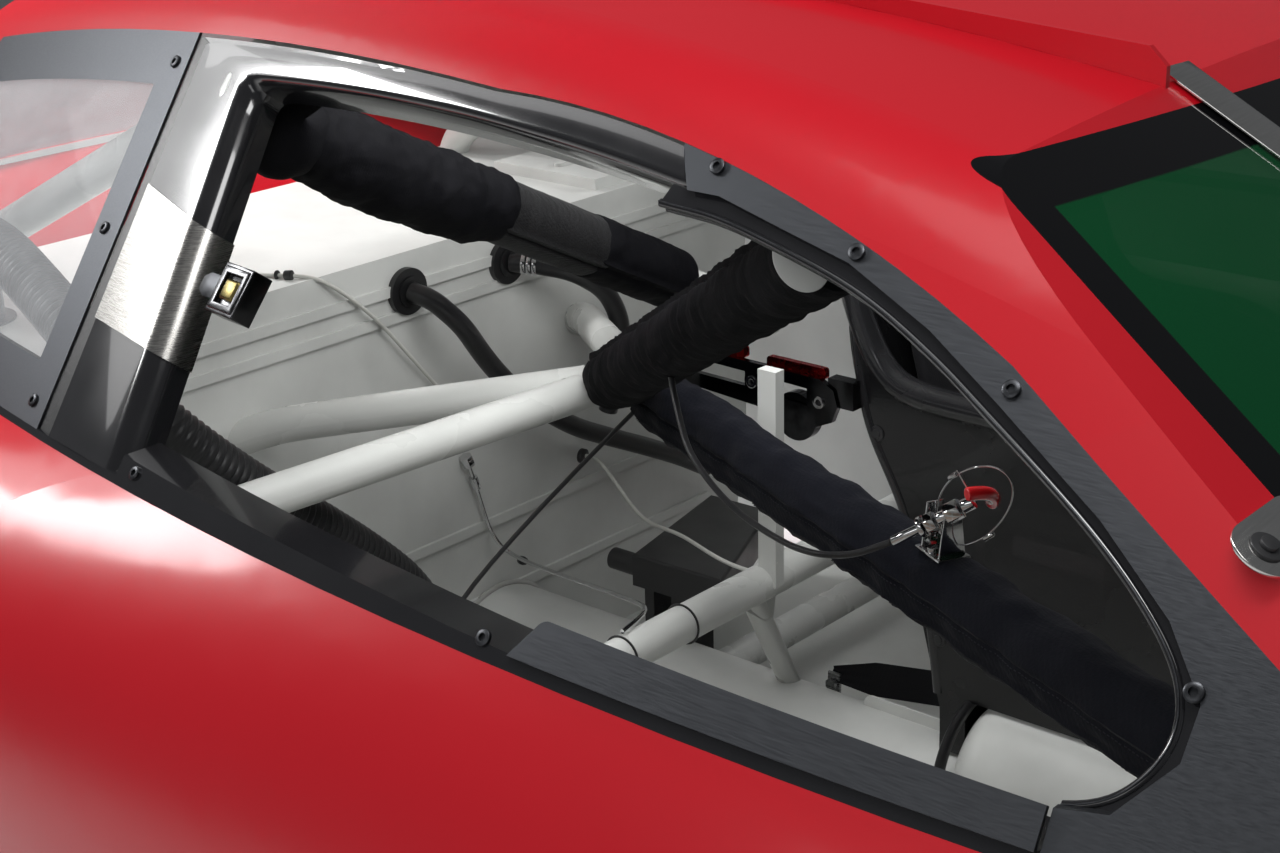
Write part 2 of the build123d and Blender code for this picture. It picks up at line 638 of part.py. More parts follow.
# Glasshouse shell, split into roof panel, windshield and rear window
with BuildPart() as shell:
    add(greenhouse(0))
    add(greenhouse(SKIN), mode=Mode.SUBTRACT)
with BuildPart() as roof_panel:
    add(shell.part)
    with BuildSketch(Plane.XZ):
        add(side_opening())
    extrude(amount=1000, both=True, mode=Mode.SUBTRACT)
    with BuildSketch(Plane.YZ):
        add(screen_outline())
    extrude(amount=1500, mode=Mode.SUBTRACT)
    with BuildSketch(Plane.YZ):
        add(backlight_outline())
    extrude(amount=-1500, mode=Mode.SUBTRACT)
    with BuildSketch(Plane.XY.offset(ROOF_Z - 125)):
        for side in (-1, 1):
            with Locations(((FLAP[0] + FLAP[1]) / 2, side * (FLAP[2] + FLAP[3]) / 2)):
                Rectangle(FLAP[1] - FLAP[0], FLAP[3] - FLAP[2])
    extrude(amount=200, mode=Mode.SUBTRACT)
    for side in (-1, 1):
        with Locations(((FLAP[0] + FLAP[1]) / 2, side * (FLAP[2] + FLAP[3]) / 2, TRAY_FLOOR_Z)):
            Box(FLAP[1] - FLAP[0] + 20, FLAP[3] - FLAP[2] + 20, 52, align=(Align.CENTER, Align.CENTER,
                Align.MIN))
        with Locations(((FLAP[0] + FLAP[1]) / 2, side * (FLAP[2] + FLAP[3]) / 2, TRAY_FLOOR_Z + 4)):
            Box(FLAP[1] - FLAP[0], FLAP[3] - FLAP[2], 200, align=(Align.CENTER, Align.CENTER, Align.MIN),
                mode=Mode.SUBTRACT)
    with BuildPart(mode=Mode.PRIVATE) as above:
        with Locations((0, 0, 1500)):
            Box(4000, 3000, 1000)
        add(greenhouse(0), mode=Mode.SUBTRACT)
    add(above.part, mode=Mode.SUBTRACT)
    add(roof_halo.part, mode=Mode.SUBTRACT)
    for side in (-1, 1):
        add(hinge_rod(side, HINGE_ROD_R, FLAP[2] - 4, FLAP[3] + 4))
roof_panel.part.label = "roof_panel"
with BuildPart() as windshield:
    add(shell.part)
    with BuildSketch(Plane.YZ):
        add(screen_outline())
    extrude(amount=1500, mode=Mode.INTERSECT)
    with Locations((1200, 0, 1000)):
        Box(1200, 3000, 1000, mode=Mode.INTERSECT)
windshield.part.label = "windshield"
with BuildPart() as rear_window:
    add(shell.part)
    with BuildSketch(Plane.YZ):
        add(backlight_outline())
    extrude(amount=-1500, mode=Mode.INTERSECT)
    with Locations((-1000, 0, 1000)):
        Box(800, 3000, 1000, mode=Mode.INTERSECT)
rear_window.part.label = "rear_window"

# Roof flaps hinged on their front edges
flaps = {}
for name, side in (("roof_flap_right", -1), ("roof_flap_left", 1)):
    with BuildPart() as flap:
        add(shell.part)
        with BuildSketch(Plane.XY.offset(ROOF_Z - 125)):
            with Locations(((FLAP[0] + FLAP[1]) / 2, side * (FLAP[2] + FLAP[3]) / 2)):
                Rectangle(FLAP[1] - FLAP[0] - 2 * FLAP_GAP - 8, FLAP[3] - FLAP[2] - 2 * FLAP_GAP)
        extrude(amount=200, mode=Mode.INTERSECT)
        for start in (130, 330):
            add(hinge_rod(side, KNUCKLE_R, start, start + 30))
            with Locations((HINGE_X - 6, side * (start + 15), HINGE_Z + HINGE_TILT * (230 - start) - 1)):
                Box(12, 30, 4)
        add(hinge_rod(side, HINGE_ROD_R + 0.05, FLAP[2], FLAP[3]), mode=Mode.SUBTRACT)
    flap.part.label = name
    flaps[name] = flap

# Red deck round the foot of the rear window: a slope up from the tray and the lid panel outside
SLOPE_TOP = (-1062, 838)
with BuildPart() as rear_deck:
    with BuildSketch(Plane.XZ):
        with BuildLine():
            Polyline((TRAY_END_X, TRAY_Z), SLOPE_TOP, (SLOPE_TOP[0] - 2, SLOPE_TOP[1] + FLOOR_T),
                (TRAY_END_X - 2, TRAY_Z + FLOOR_T), close=True)
        make_face()
    extrude(amount=TRAY_HALF - 40, both=True)
    with BuildSketch(Plane.XY.offset(BELT_Z - FLOOR_T)):
        with Locations((REAR_X, 0)):
            Rectangle(50, 2 * 690, align=(Align.MIN, Align.CENTER))
    extrude(amount=FLOOR_T)
    for piece in (rear_braces, package_tray, roof_panel, rear_window):
        add(piece.part, mode=Mode.SUBTRACT)
rear_deck.part.label = "rear_deck"

# Side trims, each a leaning slab of the window surface
with BuildPart() as quarter_frames:
    with BuildSketch() as frame_face:
        add(side_opening())
        add(strip(((-1000, 1300), (-207, 1300), (-207, 1147), (-178, 806),
            (-1000, 806))), mode=Mode.INTERSECT)
    frame_part = side_slab(frame_face.sketch, 0, 4)
    with BuildSketch() as pane_face:
        add(frame_face.sketch)
        offset(amount=-48, mode=Mode.REPLACE)
    add(frame_part)
    add(side_slab(pane_face.sketch, -1, 5), mode=Mode.SUBTRACT)
    mirror(about=Plane.XZ)
quarter_frames.part.label = "quarter_frames"
with BuildPart() as quarter_windows:
    add(side_slab(pane_face.sketch, 0, 4))
    mirror(about=Plane.XZ)
quarter_windows.part.label = "quarter_windows"
with BuildPart() as b_pillar_covers:
    with BuildSketch() as pillar_face:
        add(side_opening())
        add(strip(((-207, 1200), (-80, 1200), (-78, 1118), (-14, 806), (-178, 806),
            (-207, 1147))), mode=Mode.INTERSECT)
    add(side_slab(pillar_face.sketch, 0, 40))
    add(main_hoop.part, mode=Mode.SUBTRACT)
    add(roof_halo.part, mode=Mode.SUBTRACT)
    mirror(about=Plane.XZ)
b_pillar_covers.part.label = "b_pillar_covers"
with BuildPart() as header_trims:
    with BuildSketch() as header_face:
        add(side_opening())
        add(strip(((-80, 1200), (499, 1200), (499, 1137), (519, 1111), (300, 1126),
            (-78, 1118))), mode=Mode.INTERSECT)
    add(side_slab(header_face.sketch, 0, 30))
    add(roof_halo.part, mode=Mode.SUBTRACT)
    mirror(about=Plane.XZ)
header_trims.part.label = "header_trims"
with BuildPart() as a_pillar_plates:
    with BuildSketch() as plate_face:
        add(side_opening())
        add(strip(((499, 1200), (1400, 1200), (1400, BELT_Z), (974, BELT_Z), (971, 832), (1006, 837),
            (1036, 870), (1036, 900), (1000, 936), (935, 977), (840, 1024), (769, 1057), (686, 1086),
                (551, 1111), (519, 1111), (499, 1137))), mode=Mode.INTERSECT)
    add(side_slab(plate_face.sketch, 0, 6))
    mirror(about=Plane.XZ)
a_pillar_plates.part.label = "a_pillar_plates"
with BuildPart() as sill_plates:
    add(side_slab(strip(((553, 836), (532, 810), (972, 810), (969, 831))), 0, 40))
    mirror(about=Plane.XZ)
sill_plates.part.label = "sill_plates"
with BuildPart() as sill_trims:
    add(side_slab(strip(((-14, 822), (530, 810), (972, 810), (972, BELT_Z), (-892, BELT_Z), (-892, 806),
        (-14, 806))), 0, 40))
    mirror(about=Plane.XZ)
sill_trims.part.label = "sill_trims"
with BuildPart() as pillar_sleeves:
    add(side_slab(strip(((-174, 1020), (-52, 1020), (-35, 905), (-163, 905))), -3, 0))
    mirror(about=Plane.XZ)
pillar_sleeves.part.label = "pillar_sleeves"

# Body side below the belt, a band swept through five stations
STATIONS = (
    # x, belt y, shoulder y, shoulder z, side y, side z, rocker y
    (REAR_X, None, 838, 752, 938, 510, 903),
    (-450, None, 855, 740, 940, 500, 905),
    (100, None, 892, 705, 945, 480, 905),
    (WIDEST_X, None, 908, 695, 948, 470, 905),
    (1340, None, 890, 690, 945, 470, 905),
)
ROCKER_Z = 70


def body_side(grow):
    """Right body side filled inboard to the frame, for cutting the skin."""
    with BuildPart() as side:
        for x, belt, shoulder_y, shoulder_z, side_half, side_z, rocker in STATIONS:
            top = belt_y(x) if belt is None else -belt
            with BuildSketch(Plane.YZ.offset(x)):
                with BuildLine():
                    upper = ThreePointArc((top + grow, BELT_Z), (-shoulder_y + grow, shoulder_z),
                        (-side_half + grow, side_z))
                    lower = ThreePointArc(upper @ 1, (-side_half + 8 + grow, (side_z + ROCKER_Z) / 2),
                        (-rocker + grow, ROCKER_Z))
                    Polyline(lower @ 1, (-400, ROCKER_Z), (-400, BELT_Z), upper @ 0)
                make_face()
        loft()
    return side.part


with BuildPart() as side_skin:
    add(body_side(0))
    add(body_side(SKIN), mode=Mode.SUBTRACT)
with BuildPart() as door_zone:
    with BuildSketch(Plane.XZ):
        with BuildLine():
            seam = ThreePointArc((-43, BELT_Z), (-190, 728), (-330, 560))
            Polyline(seam @ 1, (-330, 0), (1500, 0), (1500, BELT_Z), seam @ 0)
        make_face()
    extrude(amount=1200)
with BuildPart() as door_skins:
    add(side_skin.part)
    add(door_zone.part, mode=Mode.INTERSECT)
    mirror(about=Plane.XZ)
door_skins.part.label = "door_skins"
with BuildPart() as quarter_skins:
    add(side_skin.part)
    add(door_zone.part, mode=Mode.SUBTRACT)
    with BuildSketch(Plane.XZ):
        with Locations((-1050, 255)):
            Circle(370)
    extrude(amount=1200, mode=Mode.SUBTRACT)
    mirror(about=Plane.XZ)
quarter_skins.part.label = "quarter_skins"

# Seat: bent shell with side wings and head supports, in the plane of each wing (x, z)
SEAT_Y = 370
SEAT_HALF = 268
SEAT_T = 8
SEAT_GAP = 6
BACK_TOP = (150, 985)
BACK_BEND = (178, 800)
BACK_FOOT = (322, 262)
WING_FOOT = (304, 248)
PAN_BEND = (345, 240)
PAN_FRONT = (770, 285)
HEAD_HALF = 120


def seat_wing():
    """Outline of a side wing: rear edge, shoulder notch, thigh support and pan edge."""
    with BuildSketch() as face:
        with BuildLine():
            rear = ThreePointArc((165, 805), (185, 672), (242, 565))
            foot = ThreePointArc(rear @ 1, (288, 425), WING_FOOT)
            pan = Polyline(foot @ 1, (PAN_FRONT[0], PAN_FRONT[1] - 25), (PAN_FRONT[0] + 20, 330), (730, 425))
            thigh = ThreePointArc(pan @ 1, (560, 530), (500, 632))
            hip = ThreePointArc(thigh @ 1, (430, 678), (333, 689))
            notch = ThreePointArc(hip @ 1, (215, 697), (176, 805))
            Line(notch @ 1, rear @ 0)
        make_face()
    return face.sketch


with BuildPart() as seat_shell:
    with BuildSketch(Plane.XZ.offset(-SEAT_Y)):
        with BuildLine():
            inner = Polyline(BACK_TOP, BACK_BEND, BACK_FOOT, PAN_BEND, PAN_FRONT)
            offset(inner, amount=SEAT_T, side=Side.RIGHT)
        make_face()
    extrude(amount=SEAT_HALF, both=True)
    with BuildSketch(Plane.YZ):
        for side in (-1, 1):
            with BuildLine():
                neck = SEAT_Y + side * (HEAD_HALF + SEAT_T / 2 + 3)
                near = ThreePointArc((neck, 1000), (SEAT_Y + side * 140, 860), (SEAT_Y + side * 272, 805))
                Polyline(near @ 1, (SEAT_Y + side * 300, 1000), near @ 0)
            make_face()
    extrude(amount=260, mode=Mode.SUBTRACT)
    for side in (-1, 1):
        with BuildSketch(Plane.XZ.offset(-SEAT_Y - side * SEAT_HALF)):
            add(seat_wing())
        extrude(amount=SEAT_T / 2, both=True)
        with BuildSketch(Plane.XZ.offset(-SEAT_Y - side * HEAD_HALF)):
            with BuildLine():
                low = ThreePointArc((165, 850), (290, 862), (330, 930))
                Polyline(low @ 1, (320, 985), (144, 985), low @ 0)
            make_face()
        extrude(amount=SEAT_T / 2, both=True)
    add(tunnel_body(-SEAT_GAP), mode=Mode.SUBTRACT)
    add(cover_body(SEAT_GAP), mode=Mode.SUBTRACT)
seat_shell.part.label = "seat_shell"
with BuildPart() as seat_cover:
    with BuildSketch(Plane.XZ.offset(-SEAT_Y)):
        with BuildLine():
            Polyline((178.6, 800), (322.6, 262), (345.3, 240.7), (750, 283.5), (745, 316), (375, 283),
                (215, 805), close=True)
        make_face()
    extrude(amount=SEAT_HALF - 34, both=True)
    for side in (-1, 1):
        with BuildSketch(Plane.XZ.offset(-SEAT_Y - side * (HEAD_HALF - SEAT_T / 2 - 12.5))):
            with BuildLine():
                Polyline((200, 865), (275, 872), (310, 930), (305, 975), (180, 975), close=True)
            make_face()
        extrude(amount=12, both=True)
    add(tunnel_body(-SEAT_GAP), mode=Mode.SUBTRACT)
    add(cover_body(SEAT_GAP), mode=Mode.SUBTRACT)
seat_cover.part.label = "seat_cover"

# Adjustable brace between the hoop and the seat's right wing, with its red clamp plates
BRACE_Y = SEAT_Y - SEAT_HALF - SEAT_T / 2 - 9
with BuildPart() as seat_brace:
    with BuildSketch(Plane.XZ.offset(-BRACE_Y + 4)):
        with BuildLine():
            Polyline((HOOP_X, 697), (140, 694), (160, 684), (166, 664), (158, 644), (140, 636),
                (HOOP_X, 652), close=True)
        make_face()
        with BuildLine():
            Polyline((-70, 684), (30, 682), (30, 664), (-70, 666), close=True)
        make_face(mode=Mode.SUBTRACT)
        with BuildLine():
            Polyline((52, 681), (122, 679), (122, 658), (52, 662), close=True)
        make_face(mode=Mode.SUBTRACT)
    extrude(amount=8)
    with BuildSketch(Plane.XZ.offset(-BRACE_Y - 4)):
        with Locations((41, 671), (140, 666)):
            Circle(12)
        with Locations((104, 640)):
            Circle(30)
    extrude(amount=14)
    with Locations((168, BRACE_Y, 680)):
        Box(36, 17, 34)
    add(main_hoop.part, mode=Mode.SUBTRACT)
    add(side_braces.part, mode=Mode.SUBTRACT)
    add(seat_shell.part, mode=Mode.SUBTRACT)
seat_brace.part.label = "seat_brace"
with BuildPart() as brace_clamps:
    with BuildSketch(Plane.XZ.offset(-BRACE_Y - 4)):
        with Locations((100, 698)):
            RectangleRounded(86, 14, 4)
        with Locations((10, 702)):
            RectangleRounded(30, 14, 4)
    extrude(amount=8)
    add(seat_brace.part, mode=Mode.SUBTRACT)
brace_clamps.part.label = "brace_clamps"

# Pull handle on a bracket that straddles the lower pad, with its cable to the upper pad
ROD_START = Vector(512, -320, 719)
ROD_END = Vector(594, -290, 776)
ROD_DIR = (ROD_END - ROD_START).normalized()
GRIP_DIR = Vector(0, 0.893, -0.45)
GRIP_R = 7
SADDLE = Vector(552, -293, 711)
SADDLE_DIR = Vector(0.888, -0.457, 0)
with BuildPart() as handle_bracket:
    with BuildSketch(Plane(origin=SADDLE, x_dir=SADDLE_DIR, z_dir=(0, 0, 1))):
        RectangleRounded(36, 30, 4)
    extrude(amount=2)
    for reach in (-17, 15):
        ear = SADDLE + SADDLE_DIR * reach + Vector(0, 0, 2)
        with BuildSketch(Plane(origin=ear, x_dir=(0.457, 0.888, 0), z_dir=SADDLE_DIR)):
            with BuildLine():
                Polyline((-13, 0), (13, 0), (9, 44), (-9, 44), close=True)
            make_face()
        extrude(amount=2)
with BuildPart() as pull_handle:
    add(handle_bracket.part)
    with BuildSketch(Plane(origin=ROD_START, z_dir=ROD_DIR)):
        Circle(4)
    extrude(amount=(ROD_END - ROD_START).length)
    for start, length, radius in ((42, 8, 9), (64, 14, 9), (84, 10, 7)):
        with BuildSketch(Plane(origin=ROD_START + ROD_DIR * start, z_dir=ROD_DIR)):
            RegularPolygon(radius, 6)
        extrude(amount=length)
    grip_end = ROD_END - GRIP_DIR * 24 - ROD_DIR * 7
    with BuildLine() as grip:
        ThreePointArc(grip_end, ROD_END + ROD_DIR * 4, ROD_END + GRIP_DIR * 24 - ROD_DIR * 7)
    with BuildSketch(Plane(origin=grip_end, z_dir=grip.line % 0)):
        Circle(GRIP_R)
    sweep()
pull_handle.part.label = "pull_handle"
PULL_CABLE = (tuple(ROD_START - ROD_DIR * 0.2), (478, -331, 701), (442, -333, 692), (404, -326, 688), (367, -317, 690),
    (330, -309, 696), (296, -302, 708), (264, -292, 723), (236, -279, 737), (208, -257, 754), (184, -238, 776),
    (176, -232, 789))
with BuildPart() as pull_cable:
    add(hose(PULL_CABLE, 6.5))
    add(pad_upper.part, mode=Mode.SUBTRACT)
pull_cable.part.label = "pull_cable"

# Push-button latches of the window nets, on tabs at the rear pillars
LATCH = Plane(origin=(22, side_y(22, 962) - 2, 962), x_dir=(1, -0.154, 0), z_dir=(-0.1235, -0.802, 0.597))
with BuildPart() as net_latches:
    with BuildSketch(LATCH.offset(-12)):
        RectangleRounded(46, 48, 6)
    extrude(amount=22)
    with BuildSketch(LATCH.offset(-6)):
        with Locations((-50, 0)):
            Rectangle(60, 24)
    extrude(amount=3)
    add(b_pillar_covers.part, mode=Mode.SUBTRACT)
    mirror(about=Plane.XZ)
net_latches.part.label = "net_latches"

# Roof rails: two low blades along the roof, ending ahead of the flaps
RAIL_BLADE_Y = 300
BLADE_H = 38
BLADE_END_X = -130
with BuildPart() as roof_rails:
    for side in (-1, 1):
        with BuildSketch(Plane.XZ.offset(-side * RAIL_BLADE_Y)):
            with BuildLine():
                Polyline((BLADE_END_X, 1000), (752, 1000), (752, ROOF_Z - 44), (736, ROOF_Z - 29),
                         (BLADE_END_X + 34, ROOF_Z + 32), (BLADE_END_X, ROOF_Z + 12), close=True)
            make_face()
        extrude(amount=3, both=True)
    add(greenhouse(-BLADE_H), mode=Mode.INTERSECT)
    add(greenhouse(0), mode=Mode.SUBTRACT)
roof_rails.part.label = "roof_rails"

# Strips down the windshield and tabs at its lower corners
STRIP_T = 4
with BuildPart() as screen_straps:
    add(greenhouse(-STRIP_T))
    add(greenhouse(0), mode=Mode.SUBTRACT)
    with BuildPart(mode=Mode.PRIVATE) as bands:
        for side in (-1, 1):
            with Locations((1075, side * 245, 950)):
                Box(720, 26, 600)
            with BuildSketch(Plane.YZ.offset(1000)):
                with Locations((side * 684, 978)):
                    SlotOverall(88, 44)
            extrude(amount=80)
    add(bands.part, mode=Mode.INTERSECT)
screen_straps.part.label = "screen_straps"

# Foam blocks between the door bars and the skins
with BuildPart() as door_foam:
    for side in (-1, 1):
        with Locations((590, side * (DOOR_BAR_Y + TUBE / 2 + 0.3), 400)):
            Box(900, 60, 480, align=(Align.CENTER, Align.MAX if side < 0 else Align.MIN, Align.CENTER))
door_foam.part.label = "door_foam"

# Lap belt from its floor bolt to the seat
with BuildPart() as lap_belt:
    with BuildSketch(Plane(origin=(30, 262, 208), x_dir=(1, -0.1, 0.22), z_dir=(0.1, 0.9, -0.4))):
        with BuildLine():
            Polyline((0, -10), (60, -22), (250, -26), (250, 20), (60, 18), (0, 10), close=True)
        make_face()
    extrude(amount=3)
    with Locations((34, 261, RAIL_H + FLOOR_T)):
        Box(20, 5, 106, align=(Align.CENTER, Align.CENTER, Align.MIN))
    add(seat_shell.part, mode=Mode.SUBTRACT)
    add(seat_mount.part, mode=Mode.SUBTRACT)
lap_belt.part.label = "lap_belt"

# Steering column and wheel
COLUMN_TOP = (760, SEAT_Y, 800)
COLUMN_FOOT = (FIREWALL_X - 8, SEAT_Y, 612)
with BuildPart() as steering_column:
    add(tube([COLUMN_FOOT, COLUMN_TOP], od=30))
    with Locations((FIREWALL_X - 6, SEAT_Y, 614)):
        Box(12, 90, 90)
    add(firewall.part, mode=Mode.SUBTRACT)
steering_column.part.label = "steering_column"
COLUMN_AXIS = (Vector(*COLUMN_TOP) - Vector(*COLUMN_FOOT)).normalized()
HUB_GAP = 0.3
WHEEL_PLANE = Plane(origin=Vector(*COLUMN_TOP) + COLUMN_AXIS * HUB_GAP, z_dir=COLUMN_AXIS)
with BuildPart() as steering_wheel:
    with BuildSketch(WHEEL_PLANE):
        Circle(45)
    extrude(amount=25)
    with BuildSketch(WHEEL_PLANE.offset(10)):
        with PolarLocations(95, 3, start_angle=-90):
            Rectangle(170, 26)
    extrude(amount=5)
    with BuildSketch(Plane(origin=WHEEL_PLANE.origin + WHEEL_PLANE.z_dir * 14 + WHEEL_PLANE.x_dir * 182,
        x_dir=WHEEL_PLANE.x_dir, z_dir=WHEEL_PLANE.y_dir)):
        Circle(15)
    revolve(axis=Axis(WHEEL_PLANE.origin, WHEEL_PLANE.z_dir))
steering_wheel.part.label = "steering_wheel"

PIECES = (
    frame_rails, floor_pan, tunnel, gearbox_cover, rear_bulkhead, package_tray, rear_deck, firewall,
    dash_panel, main_hoop, roof_halo, door_bars, dash_bar, side_braces, rear_braces, seat_mount,
    pad_diagonal, pad_upper, pad_lower, roof_panel, windshield, rear_window, *flaps.values(),
    roof_rails, screen_straps, quarter_frames, quarter_windows, b_pillar_covers, header_trims,
    a_pillar_plates, sill_plates, sill_trims, pillar_sleeves, net_latches, door_skins, quarter_skins,
    door_foam, seat_shell, seat_cover, seat_brace, brace_clamps, lap_belt, pull_handle, pull_cable,
    catch_box, oil_hoses, hose_grommets, air_hose, hose_collars, steel_lines, steering_column,
    steering_wheel,
)
for piece in PIECES:
    export_step(piece.part, f"parts/{piece.part.label}.step")
    box = piece.part.bounding_box()
    print(piece.part.label, len(piece.part.solids()), [round(v) for v in (*box.min, *box.max)])
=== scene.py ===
"""Looks of the stock car cabin section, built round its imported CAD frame."""

import json
import logging
import math
from collections.abc import Callable, Sequence
from dataclasses import dataclass
from enum import Enum

import bmesh
import bpy
from mathutils import Matrix, Vector, noise

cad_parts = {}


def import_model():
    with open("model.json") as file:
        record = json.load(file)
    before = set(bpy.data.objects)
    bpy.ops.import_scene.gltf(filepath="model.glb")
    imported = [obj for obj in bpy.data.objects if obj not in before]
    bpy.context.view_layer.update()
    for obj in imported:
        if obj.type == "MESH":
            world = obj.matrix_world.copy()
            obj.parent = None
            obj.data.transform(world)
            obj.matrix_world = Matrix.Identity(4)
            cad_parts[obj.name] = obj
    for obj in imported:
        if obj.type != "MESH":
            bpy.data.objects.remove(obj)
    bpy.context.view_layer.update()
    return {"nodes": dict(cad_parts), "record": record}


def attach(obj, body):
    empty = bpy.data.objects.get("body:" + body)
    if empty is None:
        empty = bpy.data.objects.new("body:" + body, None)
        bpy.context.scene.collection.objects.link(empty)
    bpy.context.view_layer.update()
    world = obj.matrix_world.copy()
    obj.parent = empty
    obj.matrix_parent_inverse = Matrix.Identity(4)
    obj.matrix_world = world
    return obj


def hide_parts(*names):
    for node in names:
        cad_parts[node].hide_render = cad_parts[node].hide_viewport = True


logging.basicConfig(level=logging.INFO, format="%(message)s")
log = logging.getLogger("cabin")

Colour = tuple[float, float, float]
Point = tuple[float, float, float]
SidePoint = tuple[float, float]
Station = tuple[SidePoint, SidePoint]

FORWARD: Point = (1.0, 0.0, 0.0)
LEFT: Point = (0.0, 1.0, 0.0)
RIGHT: Point = (0.0, -1.0, 0.0)
UP: Point = (0.0, 0.0, 1.0)
CABIN_HEART: Point = (0.1, 0.0, 0.62)


class Kind(Enum):
    """Node types of the shaders."""

    OBJECT = "ShaderNodeTexCoord"
    NOISE = "ShaderNodeTexNoise"
    VORONOI = "ShaderNodeTexVoronoi"
    MAPPING = "ShaderNodeMapping"
    RAMP = "ShaderNodeMapRange"
    MATHS = "ShaderNodeMath"
    MIX = "ShaderNodeMix"
    VECTOR_MATHS = "ShaderNodeVectorMath"
    SEPARATE = "ShaderNodeSeparateXYZ"
    BUMP = "ShaderNodeBump"


class Value:
    """One socket of a shader, on which sums are written as Python expressions."""

    def __init__(self, maker: "ShaderMaker", socket: bpy.types.NodeSocket) -> None:
        """Wraps a socket.

        Args:
            maker: the shader that the socket is part of.
            socket: an output socket.
        """
        self.maker = maker
        self.socket = socket

    def _sum(self, operation: str, first: "Value | float", second: "Value | float" = 0.0) -> "Value":
        """One Math node.

        Returns:
            Its result.
        """
        return self.maker.node(Kind.MATHS, {"operation": operation}, {0: first, 1: second})

    def __add__(self, other: "Value | float") -> "Value":
        """Sum."""
        return self._sum("ADD", self, other)

    __radd__ = __add__

    def __sub__(self, other: "Value | float") -> "Value":
        """Difference."""
        return self._sum("SUBTRACT", self, other)

    def __rsub__(self, other: "Value | float") -> "Value":
        """Difference from a number."""
        return self._sum("SUBTRACT", other, self)

    def __mul__(self, other: "Value | float") -> "Value":
        """Product."""
        return self._sum("MULTIPLY", self, other)

    def __abs__(self) -> "Value":
        """Size without its sign."""
        return self._sum("ABSOLUTE", self)

    def wave(self) -> "Value":
        """Sine."""
        return self._sum("SINE", self)

    def most(self, other: "Value | float") -> "Value":
        """The larger of two."""
        return self._sum("MAXIMUM", self, other)

    def least(self, other: "Value | float") -> "Value":
        """The smaller of two."""
        return self._sum("MINIMUM", self, other)

    def over(self, low: float, high: float, start: float = 0.0, end: float = 1.0) -> "Value":
        """Rescales from a range to another one, held at its ends.

        Args:
            low: value that gives start.
            high: value that gives end.
            start: result at low.
            end: result at high.

        Returns:
            The rescaled value.
        """
        sockets = {"Value": self, "From Min": low, "From Max": high, "To Min": start, "To Max": end}
        return self.maker.node(Kind.RAMP, {}, sockets)


